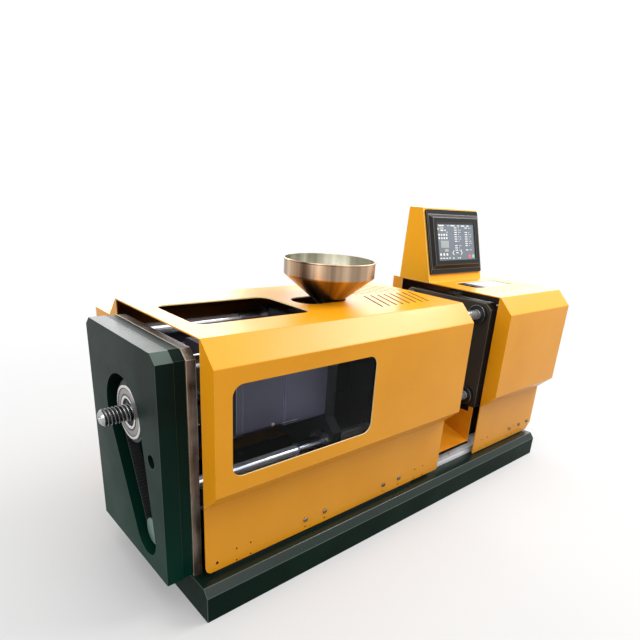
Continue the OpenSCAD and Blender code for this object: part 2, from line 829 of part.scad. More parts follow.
// Thin bearings that carry the two ball nuts
land_share = 0.14;
dish = 1.2;
module ring_bearing(x, w, od, bore) {
    land = (od - bore) * land_share;
    difference() {
        tube_x(x, w, od, bore);
        tube_x(x - over, dish + over, od - 2 * land, bore + 2 * land);
        tube_x(x + w - dish, dish + over, od - 2 * land, bore + 2 * land);
    }
}
clamp_bearing_x = clamp_plate_x + clamp_plate_t - nut_bearing_w;
module nut_bearings() {
    color("#b9bcc0") {
        ring_bearing(nut_bearing_x, nut_bearing_w, bearing_od, bearing_bore);
        ring_bearing(clamp_bearing_x, nut_bearing_w, bearing_od, bearing_bore);
    }
}

// Toothed belt round the two pulleys, teeth on its straight runs
belt_band = 2.2;
tooth_h = 1.9;
pulley_clear = 0.4;
arc_steps = 30;
belt_tooth_shares = [0.25, 0.3, 0.7, 0.75];
bare_pitches = 4;
big_r = big_teeth * tooth_pitch / 2 / PI;
small_r = small_teeth * tooth_pitch / 2 / PI;
belt_reach = norm(slot_low - slot_top);
belt_aim = atan2(slot_low[1] - slot_top[1], slot_low[0] - slot_top[0]);
belt_spread = acos((big_r - small_r) / belt_reach);
belt_run = belt_reach * sin(belt_spread);
run_teeth = floor(belt_run / tooth_pitch) - bare_pitches;
teeth_start = (belt_run - run_teeth * tooth_pitch) / 2;
function toward(a) = [cos(a), sin(a)];
function arc(c, r, from, to) = [for (k = [0:arc_steps]) c + r * toward(from + (to - from) * k / arc_steps)];
function straight(c, r, a, h) = [for (i = [0:run_teeth - 1], k = [0:3])
    c + (r - (k == 1 || k == 2 ? h : 0)) * toward(a)
        + (teeth_start + (i + belt_tooth_shares[k]) * tooth_pitch) * toward(a - 90)];
function low_arc(grow) = arc(slot_low, small_r + grow, belt_aim + belt_spread, belt_aim - belt_spread);
function top_arc(grow) = arc(slot_top, big_r + grow, belt_aim - belt_spread, belt_aim + belt_spread - 360);
module toothed_belt(x) {
    along_x(x, belt_w)
        difference() {
            polygon(concat(low_arc(pulley_clear + belt_band), top_arc(pulley_clear + belt_band)));
            polygon(concat(
                straight(slot_top, big_r + pulley_clear, belt_aim + belt_spread, tooth_h),
                low_arc(pulley_clear),
                straight(slot_low, small_r + pulley_clear, belt_aim - belt_spread, tooth_h),
                top_arc(pulley_clear)));
        }
}
pulley_rim = 1.5;
belt_slack = 1;
pulley_w = belt_w + 2 * pulley_rim + belt_slack;
injection_pulley_x = housing_x + housing_t + recess - clear - pulley_w;
pulley_gap = 2;
clamp_pulley_x = clamp_plate_x + clamp_plate_t + pulley_gap;
belt_in = pulley_rim + belt_slack / 2;
module injection_belt() {
    color("#141517") toothed_belt(injection_pulley_x + belt_in);
}
module clamp_belt() {
    color("#141517") toothed_belt(clamp_pulley_x + belt_in);
}

// Toothed pulley between two rims
pulley_tooth_shares = [0.05, 0.2, 0.55, 0.7];
rim_proud = 0.2;
module toothed_pulley(x, y, z, teeth) {
    r = teeth * tooth_pitch / 2 / PI;
    wheel = [for (i = [0:teeth - 1], k = [0:3])
        (k == 0 || k == 3 ? r - tooth_h : r) * toward((i + pulley_tooth_shares[k]) * 360 / teeth)];
    along_x(x, pulley_w) translate([y, z]) polygon(wheel);
    for (rx = [x, x + pulley_w - pulley_rim]) rod_x(rx, pulley_rim, 2 * (r + rim_proud), y, z);
}

// Large pulley with the seat of the visible bearing, keyed to the nut
bearing_out = 3;
bearing_x = injection_pulley_x - bearing_out;
web_bore = bearing_bore;
module injection_pulley() {
    seat_deep = bearing_w - bearing_out;
    color("#26292c")
        difference() {
            toothed_pulley(injection_pulley_x, 0, axis_z, big_teeth);
            rod_x(injection_pulley_x - over, seat_deep + over, bearing_od + 2 * seat);
            rod_x(injection_pulley_x - over, pulley_w + 2 * over, web_bore + 2 * seat);
        }
}
module clamp_pulley() {
    color("#26292c")
        difference() {
            toothed_pulley(clamp_pulley_x, 0, axis_z, big_teeth);
            rod_x(clamp_pulley_x - over, pulley_w + 2 * over, web_bore + 2 * seat);
        }
}

// Bearing seen in the opening, and the wiper that fills its bore round the screw
module screw_bearing() {
    color("#c3c5c8") ring_bearing(bearing_x, bearing_w, bearing_od, bearing_bore);
}
wiper_lip = 3;
module screw_wiper() {
    color("#1b1c1e")
        tube_x(bearing_x + wiper_lip, bearing_w - wiper_lip - seat, bearing_bore - 2 * seat,
            screw_d + 2 * clear);
}

// Ball nut: runs in the thin bearing and carries the pulley
module ball_nut(x, len) {
    tube_x(x, len, bearing_bore - 2 * seat, screw_d + 2 * run);
}
module injection_nut() {
    nut_x = bearing_x + bearing_w;
    color("#aeb2b6") ball_nut(nut_x, nut_end_x - nut_x);
}
module clamp_nut() {
    nut_x = clamp_bearing_x - nut_tail;
    color("#aeb2b6") ball_nut(nut_x, clamp_pulley_x + pulley_w - nut_x);
}

// Motor pulley and the shaft it sits on
module motor_pulley(x, shaft_x, shaft_l) {
    toothed_pulley(x, -motor_dy, motor_z, small_teeth);
    rod_x(shaft_x, shaft_l, motor_shaft_d, -motor_dy, motor_z);
}
module injection_motor_pulley() {
    color("#9db5a6")
        motor_pulley(injection_pulley_x, injection_pulley_x, support_x + support_t + motor_shaft_in - clear
            - injection_pulley_x);
}
module clamp_motor_pulley() {
    shaft_x = clamp_plate_x - motor_shaft_in + clear;
    color("#9db5a6")
        motor_pulley(clamp_pulley_x, shaft_x, clamp_pulley_x + pulley_w - shaft_x);
}

// Ball screw of the injection carriage, its tail standing out on the left
screw_out = 31.5;
tip_bevel = 2;
module ball_screw(x, len, bevel_left) {
    translate([x, 0, axis_z])
        rotate([0, 90, 0])
            rotate_extrude($fn = fine)
                polygon([[0, 0], [screw_d / 2 - (bevel_left ? tip_bevel : 0), 0],
                    [screw_d / 2, bevel_left ? tip_bevel : 0],
                    [screw_d / 2, len - (bevel_left ? 0 : tip_bevel)],
                    [screw_d / 2 - (bevel_left ? 0 : tip_bevel), len], [0, len]]);
}
module injection_screw() {
    color("#b7babd") ball_screw(housing_x - screw_out, yoke_x - housing_x + screw_out, true);
}

// Yoke: takes the push of the screw
yoke_half = 60;
yoke_r = 12;
spacer_d = 14;
gear_low = 40;
spacer_low_z = axis_z - gear_low - spacer_d / 2 - over;
spacer_high_z = axis_z + gearmotor_side + spacer_d / 2 + over;
casing_mid_z = axis_z + (gearmotor_side - gear_low) / 2;
casing_h = gearmotor_side + gear_low;
module yoke_plate() {
    color("#4a5260")
        along_x(yoke_x, yoke_t) {
            translate([0, casing_mid_z]) round_rect(gearmotor_w, casing_h, yoke_r);
            translate([0, casing_mid_z])
                round_rect(2 * yoke_half, spacer_high_z - spacer_low_z + spacer_d + 2 * over, yoke_r);
        }
}

// Spacers from the yoke to the pusher plate, above and below the gear motor
module yoke_spacers() {
    color("#b9bcc0")
        for (sy = [-1, 1], z = [spacer_low_z, spacer_high_z])
            rod_x(yoke_x + yoke_t, pusher_x - yoke_x - yoke_t, spacer_d, sy * gearmotor_w / 4, z);
}

// Gear motor that turns the feed screw: motor part and gear head, with a joint between them
gear_head_l = 85;
gear_step = 6;
gear_groove = 3;
drive_in = 24;
module gear_motor() {
    start = yoke_x + yoke_t;
    motor_part = pusher_x - start - gear_head_l;
    color("#5a6474")
        difference() {
            union() {
                along_x(start, motor_part + over)
                    translate([0, casing_mid_z])
                        round_rect(gearmotor_w - 2 * gear_groove, casing_h - 2 * gear_groove, gear_step);
                along_x(start + motor_part, gear_head_l)
                    translate([0, casing_mid_z]) round_rect(gearmotor_w, casing_h, gear_step);
            }
            rod_x(pusher_x - drive_in, drive_in + over, feed_screw_d + 2 * run);
        }
}

// Pusher plate: rides on the bars and carries gear motor and feed screw
rider_low = 118;
rider_high = 110;
rider_waist = 22;
module rider_outline() {
    low_z = axis_z - rider_low;
    half = plate_w / 2 - over;
    polygon([[-half, low_z], [half, low_z], [half, axis_z - bar_dz + bush_flange_d / 2],
        [half - rider_waist, axis_z - bar_dz + bush_flange_d / 2 + rider_waist],
        [half - rider_waist, axis_z + bar_dz - bush_flange_d / 2 - rider_waist],
        [half, axis_z + bar_dz - bush_flange_d / 2],
        [half, axis_z + rider_high - plate_bevel_drop], [half - plate_bevel_in, axis_z + rider_high],
        [-half + plate_bevel_in, axis_z + rider_high], [-half, axis_z + rider_high - plate_bevel_drop],
        [-half, axis_z + bar_dz - bush_flange_d / 2],
        [-half + rider_waist, axis_z + bar_dz - bush_flange_d / 2 - rider_waist],
        [-half + rider_waist, axis_z - bar_dz + bush_flange_d / 2 + rider_waist],
        [-half, axis_z - bar_dz + bush_flange_d / 2]]);
}
module pusher_plate() {
    color("#2e3338")
        difference() {
            along_x(pusher_x, rider_t) rider_outline();
            bar_bores(pusher_x, rider_t, bush_d + 2 * seat);
            rod_x(pusher_x - over, rider_t + 2 * over, feed_screw_d + 2 * run);
        }
}

// Flanged bush on a bar
module bush(x, len, flange_x, y, z) {
    difference() {
        union() {
            rod_x(x, len, bush_d, y, z);
            rod_x(flange_x, bush_flange_t, bush_flange_d, y, z);
        }
        rod_x(x - over, len + 2 * over, bar_d + 2 * run, y, z);
    }
}
bush_front = 3;
module pusher_bushes() {
    start = pusher_x + rider_t + bush_front - bush_l;
    color("#c0c3c6")
        for (p = bar_places) bush(start, bush_l, pusher_x - bush_flange_t, p[0], p[1]);
}

// Feed screw: root shaft with a pointed tip, inside feed block and barrel
tip_l = 22;
tip_margin = 2;
nozzle_gap = nozzle_travel + forward_travel + tip_margin;
module feed_screw() {
    start = pusher_x - drive_in + clear;
    len = barrel_plate_x + rider_t + barrel_l - nozzle_gap - start;
    color("#a9adb0")
        translate([start, 0, axis_z])
            rotate([0, 90, 0])
                rotate_extrude($fn = fine)
                    polygon([[0, 0], [feed_screw_d / 2, 0], [feed_screw_d / 2, len - tip_l], [0, len]]);
}

// Feed block below the hopper, bored for the screw and the pellets
feed_front = 20;
feed_low = 34;
feed_drop = 48;
feed_top_z = cover_top_z - feed_drop;
throat_wall = 4;
throat_bore = throat_d - 2 * throat_wall;
feed_seat = 12;
module feed_block() {
    start = hopper_x - feed_front;
    color("#20382d")
        difference() {
            block([start, -feed_w / 2, axis_z - feed_low],
                [barrel_plate_x - start, feed_w, feed_top_z - axis_z + feed_low]);
            rod_x(start - over, barrel_plate_x - start + 2 * over, feed_screw_d + 2 * run);
            translate([hopper_x, 0, axis_z])
                cylinder(h = feed_top_z - axis_z + over, d = throat_bore, $fn = fine);
            translate([hopper_x, 0, feed_top_z - feed_seat])
                cylinder(h = feed_seat + over, d = throat_d + 2 * seat, $fn = fine);
        }
}

// Barrel plate: rides on the bars and carries feed block and barrel
module barrel_plate() {
    color("#2e3338")
        difference() {
            along_x(barrel_plate_x, rider_t) rider_outline();
            bar_bores(barrel_plate_x, rider_t, bush_d + 2 * seat);
            rod_x(barrel_plate_x - over, rider_t + 2 * over, feed_screw_d + 2 * run);
        }
}
barrel_bush_l = 42;
module barrel_bushes() {
    color("#c0c3c6")
        for (p = bar_places)
            bush(barrel_plate_x, barrel_bush_l, barrel_plate_x + rider_t, p[0], p[1]);
}

// Barrel with its bore, closed by the nozzle
module barrel() {
    start = barrel_plate_x + rider_t;
    color("#8f8a84")
        tube_x(start, barrel_l, barrel_d, feed_screw_d + 2 * run);
}

// Heater bands clamped on the barrel
band_w = 24;
band_t = 5;
band_lug = [12, 8, 6];
band_gap = 6;
module heater_bands() {
    start = barrel_plate_x + rider_t + band_gap;
    color("#a8a39a")
        for (i = [0:2]) {
            band_x = start + i * (band_w + band_gap);
            tube_x(band_x, band_w, barrel_d + 2 * band_t, barrel_d + 2 * seat);
            block([band_x + band_w / 2 - band_lug[0] / 2, -band_lug[1] / 2,
                axis_z + barrel_d / 2 + band_t - over],
                band_lug);
        }
}

// Nozzle, its tip against the sprue in the fixed platen
nozzle_d = 34;
nozzle_tip_d = 12;
nozzle_bore = 4;
nozzle_shares = [0.55, 0.8];
module nozzle() {
    start = barrel_plate_x + rider_t + barrel_l;
    len = fixed_platen_x + nozzle_hole_deep - clear - start;
    color("#8a7f6d")
        translate([start, 0, axis_z])
            rotate([0, 90, 0])
                rotate_extrude($fn = fine)
                    polygon([[nozzle_bore / 2, 0], [nozzle_d / 2, 0], [nozzle_d / 2, len * nozzle_shares[0]],
                        [nozzle_tip_d / 2, len * nozzle_shares[1]], [nozzle_tip_d / 2, len],
                        [nozzle_bore / 2, len]]);
}

// Hopper: spun funnel with a rolled rim and a throat tube
rim_r = 1.3;
cone_lift = -6.3;
module hopper() {
    low_z = feed_top_z - feed_seat + clear;
    cone_z = cover_top_z + cone_lift;
    band_z = hopper_rim_z - hopper_band;
    outer = hopper_d / 2;
    color("#b9b4aa")
        translate([hopper_x, 0, 0])
            rotate_extrude($fn = 96)
                polygon([[throat_d / 2 - throat_wall, low_z], [throat_d / 2, low_z], [throat_d / 2, cone_z],
                    [outer, band_z], [outer, hopper_rim_z - 2 * rim_r],
                    [outer + rim_r, hopper_rim_z - 2 * rim_r],
                    [outer + rim_r, hopper_rim_z], [outer - hopper_wall, hopper_rim_z],
                    [outer - hopper_wall, band_z + hopper_wall],
                    [throat_d / 2 - throat_wall, cone_z + throat_wall]]);
}

// Moving platen on the four bars
platen_bore_d = 30;
platen_bore_deep = 10;
module moving_platen() {
    color("#3a372f")
        difference() {
            along_x(moving_platen_x, moving_platen_t) plate_outline(bed_h + moving_platen_lift);
            bar_bores(moving_platen_x, moving_platen_t, bush_d + 2 * seat);
            rod_x(moving_platen_x - over, platen_bore_deep + over, platen_bore_d);
        }
}

// Black collars in front of the moving platen, one on each bar
collar_d = 41;
collar_t = 12;
module platen_collars() {
    color("#1d1e20")
        for (p = bar_places)
            tube_x(moving_platen_x - collar_t, collar_t, collar_d, bar_d + 2 * run, p[0], p[1]);
}

// Sleeves of the moving platen with their flanges behind it
platen_bush_l = 78;
module platen_bushes() {
    color("#b4b7ba")
        for (p = bar_places)
            bush(moving_platen_x, platen_bush_l, moving_platen_x + moving_platen_t, p[0], p[1]);
}

// Clamp ball screw with its collar on the moving platen
clamp_collar_d = 52;
clamp_collar_t = 16;
clamp_screw_tail = 20;
module clamp_screw() {
    start = moving_platen_x + moving_platen_t;
    len = clamp_pulley_x + pulley_w + clamp_screw_tail + clamp_travel - start;
    color("#b7babd") {
        ball_screw(start, len, false);
        rod_x(start, clamp_collar_t, clamp_collar_d);
    }
}

// Right cover: folded sheet, open below and at both ends
right_screw_at = [842.4, 886.6, 926];
right_square_at = [732.5, 848];
right_corner_cut = 16;
right_open_in = 55;
right_open_shift = -9;
module right_cover() {
    open_x = right_cover_x + right_open_in + right_open_l / 2;
    hole_y = -skirt_y - 2 * sheet_t;
    color("#eea41e")
        difference() {
            cover_shell(right_cover_x, right_cover_l, true, sheet_t, guard_z);
            translate([open_x, right_open_shift, cover_top_z - 2 * sheet_t])
                linear_extrude(height = 4 * sheet_t) round_rect(right_open_l, right_open_w, window_r);
            along_y(hole_y, 4 * sheet_t) {
                for (u = right_screw_at)
                    translate([left_x + u, skirt_z + left_screw_up])
                        circle(d = skirt_screw_d + 2 * seat, $fn = 24);
                for (u = right_square_at, su = [-1, 1], sv = [-1, 1])
                    translate([left_x + u + su * square_w / 2, skirt_z + square_up + sv * square_h / 2])
                        circle(d = skirt_hole_d, $fn = 16);
                translate([right_cover_x + right_cover_l, guard_z])
                    polygon([[-right_corner_cut - over, -over], [over, -over],
                        [over, right_corner_cut + over]]);
            }
            skirt_corner(right_cover_x, 1, small_corner_r, -skirt_y, guard_z);
        }
}
module right_cover_screws() {
    color("#9a8f7c")
        for (u = right_screw_at) pan_screw(left_x + u, -1, skirt_y, skirt_z + left_screw_up, sheet_t);
}

// Carriages of the right cover on the guide rails
carriage_l = 58;
carriage_lift = 3;
carriage_h = 25;
module guard_carriages() {
    color("#a9adb1")
        for (u = carriage_at, sy = [-1, 1])
            difference() {
                block([left_x + u, sy * rail_y - carriage_half, bed_h + carriage_lift],
                    [carriage_l, 2 * carriage_half, carriage_h]);
                block([left_x + u - over, sy * rail_y - rail_w / 2 - clear, bed_h],
                    [carriage_l + 2 * over, rail_w + 2 * clear, rail_h + clear]);
            }
}

// Spacers from the rear carriages to the rear wall of the right cover
module guard_spacers() {
    from = rail_y + carriage_half;
    color("#2a2f2c")
        for (u = carriage_at)
            block([left_x + u, from, bed_h + skirt_lift],
                [carriage_l, right_rear_y - sheet_t - from, carriage_h]);
}

// Console on the right cover: leaning wedge with a recess for the panel
console_foot_y = 52;
console_rear_in = 7;
console_x = right_cover_x;
module on_slope() {
    translate([console_x + console_w / 2, console_foot_y, cover_top_z])
        rotate([90 - console_lean, 0, 0])
            children();
}
panel_up = 17;
panel_flange_t = 5;
panel_frame_t = 7;
panel_frame_in = 8;
panel_bevel = 4;
panel_back = 12;
module console() {
    color("#eea41e")
        difference() {
            along_x(console_x, console_w)
                polygon([[console_foot_y, cover_top_z], [console_foot_y + console_d, cover_top_z],
                    [console_foot_y + console_d - console_rear_in, cover_top_z + console_h],
                    [console_foot_y + console_h * tan(console_lean), cover_top_z + console_h]]);
            on_slope()
                translate([-panel_w / 2 + panel_frame_in, panel_up + panel_frame_in, -panel_back])
                    cube([panel_w - 2 * panel_frame_in, panel_h - 2 * panel_frame_in, panel_back + over]);
        }
}

// Panel frame: flange, raised frame with four sloped sides, and the screen recess
screen_deep = 4;
raised_in = [5, 11];
raised_slope = 8;
function raised_side(low, high, in) = [[low + in, panel_flange_t - over], [high - in, panel_flange_t - over],
    [high - in, panel_flange_t], [high - in - raised_slope, panel_flange_t + panel_frame_t],
    [low + in + raised_slope, panel_flange_t + panel_frame_t], [low + in, panel_flange_t]];
module panel_frame() {
    mid = panel_up + panel_h / 2;
    color("#1e1f21")
        on_slope()
            difference() {
                union() {
                    translate([0, mid, 0])
                        linear_extrude(height = panel_flange_t) round_rect(panel_w, panel_h, panel_bevel);
                    intersection() {
                        along_x(-panel_w / 2, panel_w)
                            polygon(raised_side(panel_up, panel_up + panel_h, raised_in[1]));
                        along_y(panel_up, panel_h)
                            polygon(raised_side(-panel_w / 2, panel_w / 2, raised_in[0]));
                    }
                    translate([0, mid, -panel_back + clear])
                        linear_extrude(height = panel_back - clear)
                            square([panel_w - 2 * panel_frame_in - 2 * clear,
                                panel_h - 2 * panel_frame_in - 2 * clear], center = true);
                }
                translate([0, mid, panel_flange_t + panel_frame_t - screen_deep])
                    linear_extrude(height = screen_deep + over) square([screen_w, screen_h], center = true);
            }
}
screen_t = 2;
module panel_screen() {
    mid = panel_up + panel_h / 2;
    color("#7d8b96")
        on_slope()
            translate([0, mid, panel_flange_t + panel_frame_t - screen_deep])
                linear_extrude(height = screen_t)
                    square([screen_w - 2 * seat, screen_h - 2 * seat], center = true);
}

bed();
belt_housing();
housing_backing();
support_plate();
housing_bolt();
injection_motor();
guide_bars();
bar_nuts();
fixed_platen();
clamp_plate();
clamp_motor();
guide_rails();
part_chute();
left_cover();
front_window();
rear_panel();
electrics_box();
electrics_lid();
power_inlet();
skirt_brackets();
left_cover_screws();
nut_bearings();
injection_belt();
clamp_belt();
injection_nut();
injection_pulley();
screw_bearing();
screw_wiper();
injection_motor_pulley();
injection_screw();
yoke_plate();
yoke_spacers();
gear_motor();
pusher_plate();
pusher_bushes();
feed_screw();
feed_block();
barrel_plate();
barrel_bushes();
barrel();
heater_bands();
nozzle();
hopper();
moving_platen();
platen_collars();
platen_bushes();
clamp_screw();
clamp_nut();
clamp_pulley();
clamp_motor_pulley();
right_cover();
right_cover_screws();
guard_carriages();
guard_spacers();
console();
panel_frame();
panel_screen();
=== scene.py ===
import math
import bmesh
import bpy
from mathutils import Matrix, Vector


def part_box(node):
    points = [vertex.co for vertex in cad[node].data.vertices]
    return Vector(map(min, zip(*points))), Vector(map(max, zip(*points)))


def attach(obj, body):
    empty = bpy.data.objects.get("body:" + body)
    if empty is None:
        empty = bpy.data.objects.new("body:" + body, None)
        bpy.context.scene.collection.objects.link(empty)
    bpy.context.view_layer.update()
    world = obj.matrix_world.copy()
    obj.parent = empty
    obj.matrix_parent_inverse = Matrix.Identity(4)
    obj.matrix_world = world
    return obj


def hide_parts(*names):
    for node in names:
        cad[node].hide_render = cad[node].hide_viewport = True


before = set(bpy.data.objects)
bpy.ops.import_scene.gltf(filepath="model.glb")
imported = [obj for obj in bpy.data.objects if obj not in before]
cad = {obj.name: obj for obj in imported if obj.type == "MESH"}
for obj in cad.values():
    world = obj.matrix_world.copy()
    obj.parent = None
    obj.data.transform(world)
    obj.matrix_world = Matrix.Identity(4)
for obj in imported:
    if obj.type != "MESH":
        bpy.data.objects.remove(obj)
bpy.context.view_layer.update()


# Camera, lamps and floor: a pale floor that runs out to white, and soft lamps round the machine,
# a large one low at the clamp end, so that flat sheet metal shows its folds by brightness alone.
def add(tree, kind, values=None, links=None, **settings):
    """Adds one node, with its settings, its socket values and its links."""
    node = tree.nodes.new(kind)
    for key, value in settings.items():
        setattr(node, key, value)
    for key, value in (values or {}).items():
        node.inputs[key].default_value = value
    for key, source in (links or {}).items():
        tree.links.new(source, node.inputs[key])
    return node


def colour(code):
    """Turns an sRGB hex colour into the linear values that the shader takes."""
    parts = [int(code[i:i + 2], 16) / 255 for i in (1, 3, 5)]
    return [c / 12.92 if c <= 0.04045 else ((c + 0.055) / 1.055) ** 2.4 for c in parts] + [1.0]


def begin(name):
    """An empty material with its node tree, ready for a shader."""
    material = bpy.data.materials.new(name)
    material.use_nodes = True
    material.node_tree.nodes.clear()
    return material, material.node_tree


scene = bpy.context.scene
scene.view_settings.view_transform = "Standard"
# The camera's axes, place and lens, worked out from the machine's straight edges.
right, up, back = (0.7386, -0.6706, 0.0694), (0.1975, 0.3137, 0.9288), (-0.6446, -0.6722, 0.3641)
bpy.ops.object.camera_add(location=(-0.7476, -0.6889, 0.5907))
camera = bpy.context.object
axes = Matrix((right, up, back)).transposed().to_4x4()
camera.matrix_world = Matrix.Translation(camera.location) @ axes
camera.data.sensor_width = 36
camera.data.lens = 29.31
camera.data.shift_x, camera.data.shift_y = -0.0276, 0.1214
camera.data.clip_end = 200
scene.camera = camera

# Each lamp: its place, the point that it faces, its width and height in metres, and its watts.
lamps = {
    "top_lamp": ((-0.2, -0.1, 2.4), (0, 0, 0.3), 2.4, 2.4, 28),
    "clamp_end_lamp": ((2.3, 1.2, 0.98), (0, 0, 0.35), 2.8, 1.2, 22),
    "slope_lamp": ((1.3, -0.62, 1.78), (0, -0.15, 0.4), 1.4, 0.8, 40),
    "front_lamp": ((-0.1, -2.0, 1.9), (0, 0, 0.25), 2.0, 1.4, 18),
    "drive_end_lamp": ((-2.4, -0.5, 1.2), (0, 0, 0.3), 1.6, 1.6, 27),
    "rear_lamp": ((0.2, 2.4, 1.3), (0, 0, 0.3), 2.0, 1.4, 36),
}
for name, (place, target, wide, high, power) in lamps.items():
    bpy.ops.object.light_add(type="AREA", location=place)
    lamp = bpy.context.object
    lamp.name = name
    lamp.rotation_euler = (Vector(target) - Vector(place)).to_track_quat("-Z", "Y").to_euler()
    lamp.data.shape = "RECTANGLE"
    lamp.data.size, lamp.data.size_y = wide, high
    lamp.data.energy = power

# The room is white where it is seen, also in metal and glass, and dim where it only lights.
world = bpy.data.worlds.new("pale_room")
scene.world = world
world.use_nodes = True
room = world.node_tree
room.nodes.clear()
path = add(room, "ShaderNodeLightPath")
seen = add(room, "ShaderNodeMath", {}, {0: path.outputs["Is Camera Ray"], 1: path.outputs["Is Glossy Ray"]},
           operation="MAXIMUM")
seen = add(room, "ShaderNodeMath", {}, {0: seen.outputs[0], 1: path.outputs["Is Transmission Ray"]},
           operation="MAXIMUM")
dim = add(room, "ShaderNodeBackground", {"Color": colour("#FFFFFF"), "Strength": 0.2})
white = add(room, "ShaderNodeBackground", {"Color": colour("#FFFFFF"), "Strength": 1.2})
mixed = add(room, "ShaderNodeMixShader", {}, {0: seen.outputs[0], 1: dim.outputs[0], 2: white.outputs[0]})
add(room, "ShaderNodeOutputWorld", {}, {0: mixed.outputs[0]})

# The floor takes the shadow near the machine and turns to plain white by 1.5 m from it. What it
# throws back on the machine is greyer, so that folds that face down stay shaded.
shadow_to, white_from, least_glow = 0.5, 1.5, 0.22
floor_paint, tree = begin("matt_white_floor")
spot = add(tree, "ShaderNodeTexCoord")
far = add(tree, "ShaderNodeVectorMath", {}, {0: spot.outputs["Object"]}, operation="LENGTH")
fade = add(tree, "ShaderNodeMapRange",
           {"From Min": shadow_to, "From Max": white_from, "To Min": least_glow},
           {"Value": far.outputs["Value"]})
matt = add(tree, "ShaderNodeBsdfDiffuse", {"Color": colour("#CCCCCC")})
glow = add(tree, "ShaderNodeEmission", {"Color": colour("#FFFFFF"), "Strength": 1.0})
plain = add(tree, "ShaderNodeMixShader", {}, {0: fade.outputs[0], 1: matt.outputs[0], 2: glow.outputs[0]})
shade = add(tree, "ShaderNodeBsdfDiffuse", {"Color": colour("#949494")})
bounce = add(tree, "ShaderNodeLightPath")
blend = add(tree, "ShaderNodeMixShader", {},
            {0: bounce.outputs["Is Diffuse Ray"], 1: plain.outputs[0], 2: shade.outputs[0]})
add(tree, "ShaderNodeOutputMaterial", {}, {0: blend.outputs[0]})
bpy.ops.mesh.primitive_plane_add(size=60, location=(0, 0, 0))
floor = bpy.context.object
floor.name = "floor"
floor.data.materials.append(floor_paint)


# Bed: one thick milled slab in dark green enamel, with a long bevel on its top edges. The enamel
# is sprayed on, so it has a slight ripple, and its edges are painted paler as a highlight.
MM = 0.001


def surface(name, main, other, rough, grain, relief, stretch=(1, 1, 1), patch=90, low=None, **sockets):
    """A material whose colour and gloss vary with a fine grain and with broad patches.

    main and other are the two colours, rough the lowest and highest roughness, grain and patch
    the sizes of the pattern and relief its height in millimetres, stretch draws the grain out, and
    low is a colour that comes in between two heights."""
    material, tree = begin(name)
    spot = add(tree, "ShaderNodeTexCoord")
    drawn = add(tree, "ShaderNodeMapping", {"Scale": stretch}, {"Vector": spot.outputs["Object"]})
    fine = add(tree, "ShaderNodeTexNoise", {"Scale": 1 / (grain * MM), "Detail": 3.0},
               {"Vector": drawn.outputs[0]})
    broad = add(tree, "ShaderNodeTexNoise", {"Scale": 1 / (patch * MM), "Detail": 4.0},
                {"Vector": spot.outputs["Object"]})
    both = add(tree, "ShaderNodeMath", {1: 0.5}, {0: fine.outputs[0], 2: broad.outputs[0]},
               operation="MULTIPLY_ADD")
    # Half of the grain is added to the patches, and nearly all of the sum lies in this span.
    span = {"From Min": 0.55, "From Max": 0.95}
    share = add(tree, "ShaderNodeMapRange", span, {"Value": both.outputs[0]})
    tint = add(tree, "ShaderNodeMix", {6: colour(main), 7: colour(other)}, {0: share.outputs[0]},
               data_type="RGBA")
    if low:
        height = add(tree, "ShaderNodeSeparateXYZ", {}, {0: spot.outputs["Object"]})
        fall = add(tree, "ShaderNodeMapRange", {"From Min": low[1] * MM, "From Max": low[2] * MM},
                   {"Value": height.outputs[2]})
        tint = add(tree, "ShaderNodeMix", {7: colour(low[0])}, {0: fall.outputs[0], 6: tint.outputs[2]},
                   data_type="RGBA")
    dull = add(tree, "ShaderNodeMapRange", {**span, "To Min": rough[0], "To Max": rough[1]},
               {"Value": both.outputs[0]})
    bumps = add(tree, "ShaderNodeBump", {"Strength": 1.0, "Distance": relief * MM},
                {"Height": fine.outputs[0]})
    skin = add(tree, "ShaderNodeBsdfPrincipled", sockets,
               {"Base Color": tint.outputs[2], "Roughness": dull.outputs[0], "Normal": bumps.outputs[0]})
    add(tree, "ShaderNodeOutputMaterial", {}, {0: skin.outputs[0]})
    return material


# Turns are in degrees: up to the first a turn is shaded smooth, over the second its edge is rounded,
# and up to the third the two faces are one. Points closer than merge_gap are one too.
gentle_turn, edge_turn, flat_turn, merge_gap = 32, 30, 0.2, 0.005
by_angle = bpy.data.node_groups.new("smooth_by_angle", "GeometryNodeTree")
by_angle.interface.new_socket("Geometry", in_out="INPUT", socket_type="NodeSocketGeometry")
by_angle.interface.new_socket("Geometry", in_out="OUTPUT", socket_type="NodeSocketGeometry")
given = add(by_angle, "NodeGroupInput")
faces = add(by_angle, "GeometryNodeSetShadeSmooth", {}, {"Geometry": given.outputs[0]}, domain="FACE")
turn = add(by_angle, "GeometryNodeInputMeshEdgeAngle")
gentle = add(by_angle, "FunctionNodeCompare", {"B": math.radians(gentle_turn)},
             {"A": turn.outputs["Unsigned Angle"]}, operation="LESS_EQUAL")
edges = add(by_angle, "GeometryNodeSetShadeSmooth", {},
            {"Geometry": faces.outputs[0], "Shade Smooth": gentle.outputs[0]}, domain="EDGE")
add(by_angle, "NodeGroupOutput", {}, {0: edges.outputs[0]})


def smooth(piece):
    """Smooths gentle turns, and keeps flat faces flat beside them."""
    piece.modifiers.new("smooth", "NODES").node_group = by_angle
    weighted = piece.modifiers.new("flat_faces", "WEIGHTED_NORMAL")
    weighted.keep_sharp = True


